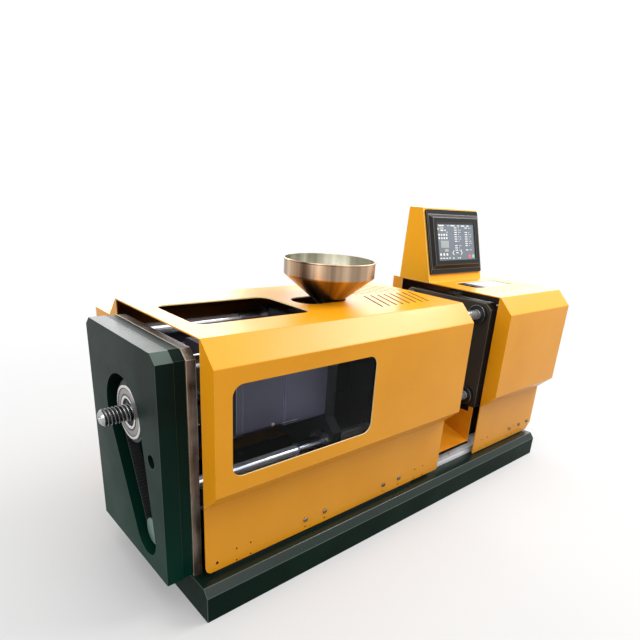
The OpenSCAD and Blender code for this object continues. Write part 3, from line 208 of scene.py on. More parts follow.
def dress(names, material, edge=0.0, wear_and_highlight=None):
    """Gives CAD nodes their finish, and rounds their edges by edge millimetres in a second finish, which is
    real wear on some pieces and a painted highlight on others.
    """
    for name in names.split():
        node = cad[name]
        node.data.materials.clear()
        node.data.materials.append(material)
        weld = node.modifiers.new("weld", "WELD")
        weld.merge_threshold = merge_gap * MM
        flat = node.modifiers.new("flatten", "DECIMATE")
        flat.decimate_type = "DISSOLVE"
        flat.angle_limit = math.radians(flat_turn)
        if edge:
            bevel = node.modifiers.new("edges", "BEVEL")
            bevel.width = edge * MM
            bevel.segments = 2
            bevel.limit_method = "ANGLE"
            bevel.angle_limit = math.radians(edge_turn)
            bevel.loop_slide = False
            if wear_and_highlight:
                node.data.materials.append(wear_and_highlight)
                bevel.material = 1
        smooth(node)


# The enamel is near black from the side, with ripples 1.6 mm apart, and its edges are painted lighter
# and greyer as a highlight. The faces that look up take a glossier, lit copy of the enamel, so that they
# mirror the covers faintly.
looks_up = 0.5
green_enamel = surface("green_enamel", "#0A221A", "#071711", (0.3, 0.42), 1.6, 0.006, IOR=1.11)
green_edge_highlight = surface("green_enamel_with_painted_edge_highlight", "#3A4E46", "#283A33", (0.26, 0.36), 0.8, 0.004, IOR=1.45)
green_gloss = surface("green_enamel_lit_copy_for_top_faces", "#0C2019", "#091813", (0.26, 0.34), 1.6, 0.006,
                      IOR=1.36)
dress("bed", green_enamel, 0.9, green_edge_highlight)
# The faces that look up take the glossier, lit copy of the enamel.
cad["bed"].data.materials.append(green_gloss)
for face in cad["bed"].data.polygons:
    if face.normal.z > looks_up:
        face.material_index = 2


# Belt housing: two machined layers in the same enamel. Their edges are broken with a file, and the
# cap screw that holds both to the support plate is blackened steel with a deep hexagon socket.
housing_top_z, level = 340, 0.9
# The enamel is painted greener towards the foot, a painted fade that stands for the foot mirroring less of
# the pale room.
enamel_with_painted_fade = surface("green_enamel_with_painted_fade_to_the_foot", "#0C1F1A", "#0A1613", (0.3, 0.42), 1.6,
                       0.006, low=("#032F24", 330, 60), IOR=1.13)
dress("belt_housing housing_backing", enamel_with_painted_fade, 0.8, green_edge_highlight)
# The top of the outer layer takes a glossier, lit copy of the enamel, so that it shines pale grey, and its
# slanted corners take the painted edge highlight.
top_gloss = surface("green_enamel_with_a_glossy_top", "#0E241D", "#0B1C16", (0.26, 0.34), 1.6, 0.006,
                    IOR=1.18)
cad["belt_housing"].data.materials.append(top_gloss)
for face in cad["belt_housing"].data.polygons:
    if face.normal.z > looks_up and face.center.z > housing_top_z * MM:
        face.material_index = 2 if face.normal.z > level else 1
# Blackened steel: a soft grey shine without any blue.
black_oxide = surface("black_oxide_steel", "#121314", "#1C1D1E", (0.38, 0.52), 0.5, 0.008, Metallic=0.3)
dress("housing_bolt skirt_brackets guard_spacers", black_oxide, 0.4)


# Support plate: hot-rolled steel left bare, brown with mill scale. Rolling leaves wavy pale streaks
# that run up its edge, drawn 6 mm wide so that they show, and its corners are ground bright.
rolled_steel = surface("hot_rolled_steel", "#3A2C20", "#8E8074", (0.3, 0.5), 6.0, 0.12, (1.2, 1.2, 0.1), 60,
                       Metallic=0.55)
rolled_edge = surface("ground_edge_of_rolled_steel", "#8C7F70", "#B5A896", (0.25, 0.4), 2.0, 0.02,
                      (1, 1, 0.2), Metallic=0.8)
dress("support_plate", rolled_steel, 0.8, rolled_edge)


# Servo motors: square cast bodies in black stove enamel, bolted on behind each belt drive. The enamel
# is baked on, so it shows a soft, slightly blue sheen.
motor_black = surface("black_stove_enamel", "#141517", "#1B1C1F", (0.35, 0.5), 0.6, 0.01)
dress("injection_motor clamp_motor", motor_black, 0.6)


# Ball screws: ground bar with a rolled double groove, 10 mm lead and 5 mm between grooves. The end
# that stands out of the housing is turned down to a cone and centre-drilled.
def open_edit(piece, mode):
    """Opens one piece for editing, with nothing selected, and returns its mesh."""
    bpy.ops.object.select_all(action="DESELECT")
    piece.select_set(True)
    bpy.context.view_layer.objects.active = piece
    bpy.ops.object.mode_set(mode="EDIT")
    bpy.ops.mesh.select_mode(type=mode)
    bpy.ops.mesh.select_all(action="DESELECT")
    return bmesh.from_edit_mesh(piece.data)


def close_edit(piece, name):
    """Turns the faces of a closed piece outwards, ends the editing and settles its place in its mesh."""
    bpy.ops.mesh.select_all(action="SELECT")
    bpy.ops.mesh.normals_make_consistent(inside=False)
    bpy.ops.object.mode_set(mode="OBJECT")
    bpy.ops.object.transform_apply(location=True, rotation=True, scale=True)
    piece.name = name
    piece.data.name = name
    return piece


def fit(piece, material, body, slot, *nodes):
    """The piece takes its finish, rides on its body, and stands for the CAD nodes that it details."""
    if not piece.data.materials:
        piece.data.materials.append(material)
    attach(piece, body)
    if nodes:
        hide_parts(*nodes)
    return piece


# The groove over one lead, as points along the bar and their height over it. It is coloured darker
# from darkened_from down in it. The cone narrows to its share of the bar, and the drilled centre leaves a
# flat rim.
lead = 10
half_groove = ((0, 0), (1.6, 0), (1.95, -0.35), (2.6, -1.1), (3.4, -1.35), (4.2, -1.1), (4.7, -0.35))
groove = half_groove + tuple((along + lead / 2, deep) for along, deep in half_groove) + ((lead, 0),)
darkened_from, groove_turn, steps_a_turn = 0.5, 35, 40
cone_share, drill_rim, drill_share = 0.74, 5.5, 0.4

# Ground steel mirrors the room in sharp bands, and its groove is coloured darker.
ground_screw = surface("ground_ball_screw_steel", "#B0B2B4", "#7C7F82", (0.14, 0.24), 0.5, 0.003,
                       Metallic=1.0)
darker_groove_steel = surface("darker_steel_in_the_ball_groove", "#3E3D3C", "#242322", (0.2, 0.34), 0.8, 0.004,
                       Metallic=0.8)


def threaded(name, start, end, height, radius, tip):
    """A ball screw along X. Its groove is drawn from one vertex, point by point, and wound round the
    axis; tip is the length of the cone that its start is turned down to."""
    first = start - 2 * lead
    bpy.ops.mesh.primitive_plane_add(size=MM, location=(first * MM, 0, height * MM))
    piece = bpy.context.object
    open_edit(piece, "VERT")
    bpy.ops.mesh.select_all(action="SELECT")
    bpy.ops.mesh.merge(type="CENTER")
    bpy.ops.transform.translate(value=(0, 0, radius * MM))
    for before, after in zip(groove, groove[1:]):
        step = ((after[0] - before[0]) * MM, 0, (after[1] - before[1]) * MM)
        bpy.ops.mesh.extrude_vertices_move(TRANSFORM_OT_translate={"value": step})
    bpy.ops.object.mode_set(mode="OBJECT")
    wind = piece.modifiers.new("wind", "SCREW")
    wind.axis = "X"
    wind.screw_offset = lead * MM
    wind.iterations = math.ceil((end - start) / lead) + 4
    wind.steps = wind.render_steps = steps_a_turn
    bpy.ops.object.modifier_apply(modifier="wind")
    open_edit(piece, "FACE")
    bpy.ops.mesh.select_all(action="SELECT")
    bpy.ops.mesh.remove_doubles(threshold=0.01 * MM)
    for place, way in ((start + tip, (1, 0, 0)), (end, (-1, 0, 0))):
        bpy.ops.mesh.select_all(action="SELECT")
        bpy.ops.mesh.bisect(plane_co=(place * MM, 0, height * MM), plane_no=way, use_fill=True,
                            clear_inner=True, threshold=0.001 * MM)
    if tip:
        bpy.ops.mesh.select_all(action="DESELECT")
        shell = bmesh.from_edit_mesh(piece.data)
        for face in shell.faces:
            at_start = (piece.matrix_world @ face.calc_center_median()).x < (start + tip + 0.01) * MM
            face.select = at_start and abs(face.normal.x) > 0.99 and len(face.verts) > 8
        middle = (start * MM, 0, height * MM)
        bpy.ops.mesh.extrude_region_move(TRANSFORM_OT_translate={"value": (-tip * MM, 0, 0)})
        bpy.ops.transform.resize(value=(1, cone_share, cone_share), center_override=middle)
        bpy.ops.mesh.inset(thickness=drill_rim * MM)
        bpy.ops.mesh.extrude_region_move(TRANSFORM_OT_translate={"value": (tip * MM, 0, 0)})
        bpy.ops.transform.resize(value=(1, drill_share, drill_share), center_override=middle)
    close_edit(piece, name)
    bpy.ops.object.shade_smooth_by_angle(angle=math.radians(groove_turn))
    piece.data.materials.append(ground_screw)
    piece.data.materials.append(darker_groove_steel)
    for face in piece.data.polygons:
        reach = math.hypot(face.center.y, face.center.z - height * MM) / MM
        if reach < radius - darkened_from and (start + tip) * MM < face.center.x < end * MM:
            face.material_index = 1
    return piece


def turned(name, centre, axis, stations, sides=72):
    """Turns a piece: a ring is drawn out from station to station, each a distance along the axis and
    a radius in millimetres. Its ends are filled, unless the last station closes on the first."""
    way = Vector(axis)
    middle = Vector(centre) * MM
    place, wide = stations[0]
    bpy.ops.object.select_all(action="DESELECT")
    bpy.ops.mesh.primitive_circle_add(vertices=sides, radius=wide * MM, location=middle + way * place * MM,
                                      rotation=way.to_track_quat("Z", "Y").to_euler())
    piece = bpy.context.object
    open_edit(piece, "EDGE")
    bpy.ops.mesh.select_all(action="SELECT")
    for along, radius in stations[1:]:
        bpy.ops.mesh.extrude_edges_move(TRANSFORM_OT_translate={"value": way * (along - place) * MM})
        share = radius / wide
        bpy.ops.transform.resize(value=(share, share, share), center_override=middle + way * along * MM)
        place, wide = along, radius
    bpy.ops.mesh.select_all(action="SELECT")
    bpy.ops.mesh.remove_doubles(threshold=merge_gap * MM)
    if stations[-1] != stations[0]:
        bpy.ops.mesh.select_all(action="DESELECT")
        bpy.ops.mesh.select_non_manifold()
        bpy.ops.mesh.fill_holes(sides=0)
    close_edit(piece, name)
    bpy.ops.object.shade_smooth_by_angle(angle=math.radians(gentle_turn))
    return piece


screw_low, screw_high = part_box("injection_screw")
screw_radius = (screw_high.z - screw_low.z) / 2 / MM
axis_z = (screw_high.z + screw_low.z) / 2 / MM
fit(threaded("injection_ball_screw", screw_low.x / MM, screw_high.x / MM, axis_z, screw_radius, tip=3),
    ground_screw, "injection_carriage", "screw_steel", "injection_screw")

clamp_low, clamp_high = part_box("clamp_screw")
fit(threaded("clamp_ball_screw", clamp_low.x / MM, clamp_high.x / MM, axis_z, screw_radius, tip=0),
    ground_screw, "clamp_platen", "screw_steel")
collar_length = 11.5
collar_radius = (clamp_high.z - clamp_low.z) / 2 / MM
collar_start, collar_end = clamp_low.x / MM, clamp_low.x / MM + collar_length
fit(turned("clamp_screw_collar", (0, 0, axis_z), (1, 0, 0),
           ((collar_start, collar_radius - 0.5), (collar_start + 0.5, collar_radius),
            (collar_end - 1, collar_radius), (collar_end, collar_radius - 1)), sides=48),
    ground_screw, "clamp_platen", "screw_steel", "clamp_screw")


# Bearings: ground rings with a pressed steel shield between them, dull where it is pressed, and a
# groove on each side of it. The black wiper closes the bore round the screw.
seat_low, seat_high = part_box("screw_bearing")
bearing_outer = (seat_high.z - seat_low.z) / MM
bearing_bore = 40
seat_width, nut_width = 15, 9
ease, groove_deep, shield_deep = 0.6, 0.9, 0.4
land_share = 0.42
land = (bearing_outer - bearing_bore) / 4 * land_share


def ring_profile(width):
    """Stations of one bearing, both its faces alike: ring, groove, shield, groove, ring."""
    high, low = bearing_outer / 2 - land, bearing_bore / 2 + land
    front = [(ease, bearing_outer / 2), (0, bearing_outer / 2 - ease), (0, high),
             (groove_deep, high - 0.2), (groove_deep, high - 1.2),
             (shield_deep, high - 1.4), (shield_deep, low + 2.6),
             (groove_deep, low + 2.4), (groove_deep, low + 0.2),
             (0, low), (0, bearing_bore / 2 + ease), (ease, bearing_bore / 2)]
    rear = [(width - along, radius) for along, radius in reversed(front)]
    return front + rear + [front[0]]


# The rings are mirror bright, the shield a warm satin grey, and the grooves between them are coloured near
# black.
bearing_steel = surface("ground_bearing_steel", "#D8D8D8", "#BEBFC1", (0.16, 0.26), 0.5, 0.002, (0.2, 1, 1),
                        Metallic=1.0)
shield_steel = surface("pressed_shield", "#A39D98", "#827C77", (0.3, 0.42), 0.6, 0.006, Metallic=1.0)
near_black_groove = surface("near_black_in_the_bearing_grooves", "#3B3633", "#24211F", (0.3, 0.5), 0.6, 0.01)


def bearing(name, start, width, body, *nodes):
    """One shielded ball bearing on the screw's axis."""
    piece = turned(name, (start, 0, axis_z), (1, 0, 0), ring_profile(width), sides=96)
    for material in (bearing_steel, shield_steel, near_black_groove):
        piece.data.materials.append(material)
    for face in piece.data.polygons:
        reach = math.hypot(face.center.y, face.center.z - axis_z * MM) / MM
        deep = min(face.center.x / MM - start, start + width - face.center.x / MM)
        if bearing_bore / 2 + land < reach < bearing_outer / 2 - land and deep < groove_deep + 0.1:
            face.material_index = 2 if deep > shield_deep + 0.1 else 1
    return fit(piece, bearing_steel, body, "bearing_steel", *nodes)


bearing("screw_end_bearing", seat_low.x / MM, seat_width, "injection_nut_body", "screw_bearing")
nut_low, nut_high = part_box("nut_bearings")
bearing("injection_nut_bearing", nut_low.x / MM, nut_width, "machine_frame")
bearing("clamp_nut_bearing", nut_high.x / MM - nut_width, nut_width, "machine_frame", "nut_bearings")
# The wiper is dull black rubber, and the turned nuts have a satin grey shine.
wiper_rubber = surface("wiper_rubber", "#0F0F10", "#191919", (0.55, 0.7), 0.4, 0.01)
dress("screw_wiper", wiper_rubber, 0.3)
nut_steel = surface("turned_nut_steel", "#A9ACAF", "#8F9296", (0.2, 0.32), 0.4, 0.004, (4, 1, 1),
                    Metallic=1.0)
dress("injection_nut clamp_nut", nut_steel, 0.4)


# Belt drive: toothed pulleys, the large one blackened and the motor pulley anodised aluminium with a
# grey teal satin shine, and a moulded black belt whose dull ribs catch the light a little.
belt_rubber = surface("moulded_belt_rubber", "#131415", "#1E1F20", (0.42, 0.6), 0.3, 0.01)
dress("injection_belt clamp_belt", belt_rubber, 0.25)
dress("injection_pulley clamp_pulley", black_oxide, 0.2)
teal_aluminium = surface("grey_teal_anodised_aluminium", "#8FA89C", "#7B958A", (0.3, 0.42), 0.4, 0.004,
                         Metallic=0.7)
dress("injection_motor_pulley clamp_motor_pulley", teal_aluminium, 0.15)


# Bars, nuts, bushes and rails: hardened steel ground bright round the bar. The grinding lines are
# far finer than this, and are drawn 0.8 mm apart so that they show.
ground_steel = surface("ground_bar_steel", "#E4E5E8", "#CDCFD2", (0.12, 0.22), 0.8, 0.002, (4, 1, 1),
                       Metallic=0.75)
dress("guide_bars bar_nuts yoke_spacers", ground_steel, 0.4)
# The bushes are only turned, so they are greyer, and the rails shine white along their length.
bush_steel = surface("turned_bush_steel", "#8F9194", "#707276", (0.2, 0.32), 0.6, 0.004, (4, 1, 1),
                     Metallic=1.0)
dress("pusher_bushes barrel_bushes platen_bushes", bush_steel, 0.5)
rail_steel = surface("ground_rail_steel", "#F4F5F6", "#E6E7E9", (0.3, 0.38), 0.8, 0.0005, (0.2, 2, 2),
                     Metallic=0.15)
dress("guide_rails guard_carriages", rail_steel)


# Platens: thick plates blackened in hot oil, brown in the light, with the edges worn to grey. The
# collars on the moving one are blackened too, with a bright turned edge.
blackened = surface("oil_blackened_steel", "#474037", "#37322B", (0.34, 0.5), 1.6, 0.01, Metallic=0.2)
worn_steel = surface("blackened_steel_worn_at_edges", "#8B8172", "#6D6457", (0.3, 0.45), 0.8, 0.006,
                     Metallic=0.7)
dress("fixed_platen clamp_plate moving_platen", blackened, 1.2, worn_steel)
collar_edge = surface("bright_turned_edge", "#D8D8D8", "#BDBDBD", (0.18, 0.28), 0.5, 0.002, Metallic=1.0)
dress("platen_collars", black_oxide, 0.7, collar_edge)


# Injection carriage: a yoke and a wide gear motor in blue-grey machine enamel, and two plates that
# ride on the bars. The casing has a pan screw and a bright drain strip on its front.
grey_enamel = surface("blue_grey_enamel", "#4D4C5C", "#3D3A44", (0.34, 0.46), 1.4, 0.012, patch=70)
grey_edge = surface("blue_grey_enamel_with_painted_edge_highlight", "#7C7F92", "#686B7C", (0.3, 0.4), 0.8, 0.004)
dress("yoke_plate gear_motor rear_panel", grey_enamel, 0.9, grey_edge)
# The enamel is cloudy, and its edges are painted paler as a highlight. The plates' paint is near black, and
# softer.
plate_black = surface("green_black_plate_paint", "#191D1C", "#131615", (0.36, 0.5), 1.4, 0.01, patch=60)
dress("pusher_plate barrel_plate", plate_black, 0.8)
dress("feed_block", green_enamel, 0.6)

# Zinc plate: a bright, slightly yellow grey that shows every small curve.
zinc_plate = surface("zinc_plated_steel", "#D6D2C8", "#B3AC9C", (0.22, 0.36), 0.6, 0.008, Metallic=1.0)
gear_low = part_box("gear_motor")[0]
casing_screw_at = (gear_low.x / MM + 55.7, gear_low.y / MM + 3, gear_low.z / MM + 8)
strip_x, strip_up, strip_proud = -274, 7.5, 0.4
strip_length, strip_height = 36, 1.6


def pan_head(name, centre, axis, radius, height):
    """A pan-head screw with a round driver recess. It starts on the sheet that it holds."""
    return turned(name, centre, axis,
                  ((0, radius), (height * 0.45, radius * 0.98), (height * 0.8, radius * 0.84),
                   (height, radius * 0.62), (height, radius * 0.36), (height * 0.45, radius * 0.33)),
                  sides=24)


fit(pan_head("casing_screw", casing_screw_at, (0, -1, 0), radius=3, height=2), zinc_plate,
    "injection_carriage", "bright_steel")


def plates(name, thick, places):
    """Flat rectangles in one plane, each a middle and a size in millimetres, thickened upwards."""
    bpy.ops.object.select_all(action="DESELECT")
    bpy.ops.mesh.primitive_plane_add(size=MM)
    piece = bpy.context.object
    open_edit(piece, "FACE")
    bpy.ops.mesh.select_all(action="SELECT")
    for number, (x, y, wide, high) in enumerate(places):
        if number:
            bpy.ops.mesh.select_all(action="DESELECT")
            bpy.ops.mesh.primitive_plane_add(size=MM)
        bpy.ops.transform.translate(value=(x * MM, y * MM, 0))
        bpy.ops.transform.resize(value=(wide, high, 1), center_override=(x * MM, y * MM, 0))
    bpy.ops.object.mode_set(mode="OBJECT")
    thicken = piece.modifiers.new("thicken", "SOLIDIFY")
    thicken.thickness = thick * MM
    thicken.offset = 1
    bpy.ops.object.modifier_apply(modifier="thicken")
    open_edit(piece, "FACE")
    return close_edit(piece, name)


def place_piece(piece, matrix):
    """Moves a finished piece and settles its place in its mesh again."""
    bpy.ops.object.select_all(action="DESELECT")
    piece.select_set(True)
    bpy.context.view_layer.objects.active = piece
    piece.matrix_world = matrix
    bpy.ops.object.transform_apply(location=True, rotation=True, scale=True)
    return piece


drain_strip = place_piece(plates("casing_drain_strip", strip_proud, [(0, 0, strip_length, strip_height)]),
                          Matrix.Translation((strip_x * MM, gear_low.y, gear_low.z + strip_up * MM))
                          @ Matrix.Rotation(math.radians(90), 4, "X"))
fit(drain_strip, zinc_plate, "injection_carriage", "bright_steel")


# Barrel and feed: turned steel, tinted a dull straw brown by heat, with three clamped heater bands,
# a nozzle screwed into its end, and the feed screw inside it.
hot_steel = surface("heat_tinted_steel", "#8F8270", "#6E6150", (0.3, 0.48), 0.8, 0.008, (3, 1, 1),
                    Metallic=0.9)
dress("barrel heater_bands nozzle", hot_steel, 0.5)
dress("feed_screw", ground_screw, 0.3)


# Hopper: one spun stainless bowl with a straight band, a cone and a throat tube. Its rim is rolled
# outwards round a wire, spinning leaves fine rings, and its broad soft streaks up the band are partly
# spinning marks and partly painted reflection.
hopper_low, hopper_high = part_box("hopper")
hopper_x = (hopper_low.x + hopper_high.x) / 2 / MM
foot_z, rim_z = hopper_low.z / MM, hopper_high.z / MM
bead = 1.3
band_r = (hopper_high.x - hopper_low.x) / 2 / MM - bead
band_height = 27.5
band_z = rim_z - band_height
cone_z = 410
throat_r, throat_bore, wall = 20, 16, 1.5
bead_arc = [(rim_z - bead - bead * math.cos(math.radians(a)), band_r + bead * math.sin(math.radians(a)))
            for a in range(10, 180, 20)]
outside = [(foot_z, throat_r), (cone_z - 1.5, throat_r), (cone_z, throat_r + 0.4),
           (cone_z + 1.2, throat_r + 1.9), (band_z - 1.0, band_r - 1.6), (band_z, band_r - 0.5),
           (band_z + 1.4, band_r - 0.05), (band_z + 2, band_r), (rim_z - 2 * bead - 0.2, band_r)]
within = [(rim_z, band_r - 0.4), (rim_z - 0.3, band_r - wall), (band_z + 2.2, band_r - wall),
          (band_z + 1.3, band_r - wall - 0.3), (cone_z + 2.6, throat_r + 1.9 - wall),
          (cone_z + 1.4, throat_bore + 0.4), (cone_z, throat_bore), (foot_z, throat_bore)]
hopper_bowl = turned("hopper_bowl", (hopper_x, 0, 0), (0, 0, 1),
                     outside + bead_arc + within + [outside[0]], sides=128)

# Outside, the steel is painted warm as a reflection of the covers, and inside it is painted pale and
# greener as a reflection too. Each finish has a dark and a light streak, partly spinning marks and partly
# painted reflection, and its lowest roughness. The streaks are broad, a few round the bowl, and the
# spinning rings, far finer than this, are drawn 3.3 mm apart so that they show.
ring_pitch = 10 / 3
bowl_tones = {
    "spun_stainless_with_painted_warm_reflection": ("#5C493B", "#D2B799", 0.26),
    "spun_stainless_inside_with_painted_pale_reflection": ("#767462", "#D3D0C0", 0.3),
}
for name, (dark, light, lowest) in bowl_tones.items():
    spun_steel, tree = begin(name)
    spot = add(tree, "ShaderNodeTexCoord")
    centred = add(tree, "ShaderNodeMapping", {"Location": (-hopper_x * MM, 0, 0)},
                  {"Vector": spot.outputs["Object"]})
    parts = add(tree, "ShaderNodeSeparateXYZ", {}, {0: centred.outputs[0]})
    around = add(tree, "ShaderNodeMath", {}, {0: parts.outputs[1], 1: parts.outputs[0]},
                 operation="ARCTAN2")
    streak_at = add(tree, "ShaderNodeCombineXYZ", {}, {0: around.outputs[0]})
    streaks = add(tree, "ShaderNodeTexNoise", {"Scale": 1.9, "Detail": 4.0, "Roughness": 0.5},
                  {"Vector": streak_at.outputs[0]})
    ring_at = add(tree, "ShaderNodeCombineXYZ", {}, {2: parts.outputs[2]})
    rings = add(tree, "ShaderNodeTexNoise", {"Scale": 1 / (ring_pitch * MM), "Detail": 2.0},
                {"Vector": ring_at.outputs[0]})
    share = add(tree, "ShaderNodeMapRange", {"From Min": 0.36, "From Max": 0.64},
                {"Value": streaks.outputs[0]})
    tint = add(tree, "ShaderNodeMix", {6: colour(dark), 7: colour(light)}, {0: share.outputs[0]},
               data_type="RGBA")
    gloss = add(tree, "ShaderNodeMapRange",
                {"From Min": 0.3, "From Max": 0.7, "To Min": lowest, "To Max": lowest + 0.1},
                {"Value": rings.outputs[0]})
    bumps = add(tree, "ShaderNodeBump", {"Strength": 0.15, "Distance": 0.002 * MM},
                {"Height": rings.outputs[0]})
    skin = add(tree, "ShaderNodeBsdfPrincipled", {"Metallic": 1.0},
               {"Base Color": tint.outputs[2], "Roughness": gloss.outputs[0], "Normal": bumps.outputs[0]})
    add(tree, "ShaderNodeOutputMaterial", {}, {0: skin.outputs[0]})
    hopper_bowl.data.materials.append(spun_steel)
for face in hopper_bowl.data.polygons:
    outwards = Vector((face.center.x - hopper_x * MM, face.center.y, 0)).normalized()
    if face.normal.dot(outwards) < -0.05 and face.center.z < (rim_z - 0.2) * MM:
        face.material_index = 1
fit(hopper_bowl, hopper_bowl.data.materials[0], "barrel_unit", "stainless", "hopper")


# Covers: 2 mm sheet, laser cut, folded with a small inner radius and welded at the bulge ends, then
# powder coated yellow. The cut edges are painted pale cream as a highlight.
powder_coat = surface("yellow_powder_coat", "#EEA012", "#E5970E", (0.28, 0.36), 1.6, 0.03, patch=160,
                      IOR=1.38)
inside_shade_coat = surface("powder_coat_with_painted_shade_inside_covers", "#7E4A10", "#5C340B", (0.5, 0.62), 1.6, 0.02,
                      patch=120, IOR=1.2)
cut_edge = surface("powder_coat_with_painted_edge_highlight", "#FFEBBD", "#FBDB98", (0.3, 0.4), 0.8, 0.006, IOR=1.4)
louvre_edge = surface("shaded_louvre_cut", "#1C1207", "#100A04", (0.6, 0.7), 0.8, 0.006)
# The coat has an even gloss with a faint orange peel of 1.6 mm. Inside, the covers are painted dull and
# dark brown as shade, and the walls of the louvres and of the smallest holes, where no light comes, are
# painted nearly black as shade. Turns are in degrees, and a small hole's wall has a rim shorter than
# hole_rim.
sheet = 2.0
fold_radius, louvre_rim, cut_round = 1.4, 1.3, 0.95
square_turn, fold_turns, fold_length = 70, (15, 60), 30
hole_rim = 7
cover_middle_z, inner_reach = 240, 5


def in_box(place, box):
    """True where a place lies in a box, given by its two corners in millimetres."""
    return all(low * MM < at < high * MM for at, low, high in zip(place, *box))


def folded_sheet(name, node, louvres=((0, 0, 0), (0, 0, 0))):
    """A cover made from its CAD solid: triangles merged, folds rounded, cut walls in their own finish.
    louvres is the box, in millimetres, in which the cuts are too narrow for light to reach them."""

    def square(edge):
        """True for an edge between two faces that stand square to each other."""
        return edge.calc_face_angle() > math.radians(square_turn)

    piece = cad[node].copy()
    piece.data = cad[node].data.copy()
    for key in list(piece.keys()):
        del piece[key]
    piece.parent = None
    piece.matrix_world = Matrix.Identity(4)
    scene.collection.objects.link(piece)
    piece.data.materials.clear()
    for material in (powder_coat, cut_edge, louvre_edge, inside_shade_coat):
        piece.data.materials.append(material)
    open_edit(piece, "FACE")
    bpy.ops.mesh.select_all(action="SELECT")
    bpy.ops.mesh.remove_doubles(threshold=merge_gap * MM)
    bpy.ops.mesh.dissolve_limited(angle_limit=math.radians(flat_turn))
    bpy.ops.mesh.select_all(action="DESELECT")
    # Cut walls are as wide as the sheet is thick, with square edges along more than a third of them.
    shell = bmesh.from_edit_mesh(piece.data)
    for face in shell.faces:
        longest = max(edge.calc_length() for edge in face.edges)
        middle = face.calc_center_median()
        rim = sum(edge.calc_length() for edge in face.edges if square(edge))
        thin = face.calc_area() / longest < 1.05 * sheet * MM and rim > 0.35 * face.calc_perimeter()
        small = longest < 2.1 * sheet * MM and face.calc_perimeter() < hole_rim * MM
        dark = in_box(middle, louvres) or small
        # Faces that turn in towards the middle of the cover take the painted shade inside.
        facing = face.normal.y * middle.y + face.normal.z * (middle.z - cover_middle_z * MM)
        inside = facing < -inner_reach * MM
        # Cut walls take the painted edge highlight, and those of the louvres and the smallest holes the
        # painted shade.
        face.material_index = 2 if thin and dark else 1 if thin else 3 if inside else 0
    bpy.ops.mesh.select_mode(type="EDGE")
    shell = bmesh.from_edit_mesh(piece.data)
    for edge in shell.edges:
        if len(edge.link_faces) == 2 and edge.calc_length() > fold_length * MM:
            edge.select = math.radians(fold_turns[0]) < edge.calc_face_angle() < math.radians(fold_turns[1])
    bmesh.update_edit_mesh(piece.data)
    bpy.ops.mesh.bevel(offset=fold_radius * MM, segments=3, affect="EDGES", clamp_overlap=True)
    bpy.ops.mesh.select_all(action="DESELECT")
    shell = bmesh.from_edit_mesh(piece.data)
    # The rims of the louvre cuts are bevelled in the painted louvre shade, which widens their dark lines.
    rims = [edge for edge in shell.edges if len(edge.link_faces) == 2 and square(edge)
            and 2 in [face.material_index for face in edge.link_faces]
            and in_box((edge.verts[0].co + edge.verts[1].co) / 2, louvres)]
    for edge in rims:
        edge.select = True
    if rims:
        bmesh.update_edit_mesh(piece.data)
        bpy.ops.mesh.bevel(offset=louvre_rim * MM, segments=1, affect="EDGES", clamp_overlap=True,
                           loop_slide=False, material=2)
    shell = bmesh.from_edit_mesh(piece.data)
    eased = shell.edges.layers.float.new("bevel_weight_edge")
    for edge in shell.edges:
        if len(edge.link_faces) == 2 and square(edge):
            edge[eased] = float(1 in [face.material_index for face in edge.link_faces])
    bpy.ops.object.mode_set(mode="OBJECT")
    piece.name = name
    piece.data.name = name
    bevel = piece.modifiers.new("edges", "BEVEL")
    bevel.width = cut_round * MM
    bevel.segments = 2
    bevel.limit_method = "WEIGHT"
    bevel.loop_slide = False
    bevel.material = 1
    smooth(piece)
    return piece


top_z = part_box("left_cover")[1].z / MM
louvre_box = ((-75, -100, top_z - 5), (91, 100, top_z + 1))
fit(folded_sheet("left_cover_sheet", "left_cover", louvre_box),
    powder_coat, "machine_frame", "yellow_powder_coat", "left_cover")
fit(folded_sheet("right_cover_sheet", "right_cover"),
    powder_coat, "guard", "yellow_powder_coat", "right_cover")
# Parts rub the chute's coat dull, and its deeper, darker orange is painted shade. The console's coat is a
# little yellower than the covers'.
chute_coat = surface("powder_coat_with_painted_shade_in_the_chute", "#DD8D10", "#C4760B", (0.36, 0.46), 2.0, 0.02,
                     patch=50, IOR=1.3)
dress("part_chute", chute_coat, 0.5)
dress("electrics_box electrics_lid", powder_coat, 0.7, cut_edge)
console_coat = surface("fresh_powder_coat_on_the_console", "#F9B406", "#F0A704", (0.28, 0.36), 1.6, 0.03,
                       patch=160, IOR=1.38)
dress("console", console_coat, 0.7, cut_edge)


# Window: a flat pane of clear acrylic, cut from sheet and fixed behind the opening in the left cover.
# Its IOR is set low, so that it mirrors little and the dark inside shows through it.
pane, tree = begin("clear_acrylic")
skin = add(tree, "ShaderNodeBsdfPrincipled", {"Base Color": colour("#EEF0F6"), "Roughness": 0.03,
           "Transmission Weight": 1.0, "IOR": 1.1})
add(tree, "ShaderNodeOutputMaterial", {}, {0: skin.outputs[0]})
dress("front_window", pane)


# Skirt screws: zinc-plated pan heads that clamp the skirts to the brackets, their plating dulled
# brown. One head is turned for each row, where its first screw is, and copied along it.
dull_zinc = surface("dulled_zinc_plate", "#8A7A62", "#5E5140", (0.3, 0.45), 0.6, 0.008, Metallic=0.9)
head_radius, head_height = 4.5, 2.6
screw_z, skirt_y = 82.5, 132.6
# Each row: its first screw along X, and the steps from there to the others.
left_row = (-267.4, (42.4, 189.9, 234.1))
right_row = (377.4, (44.2, 83.6))


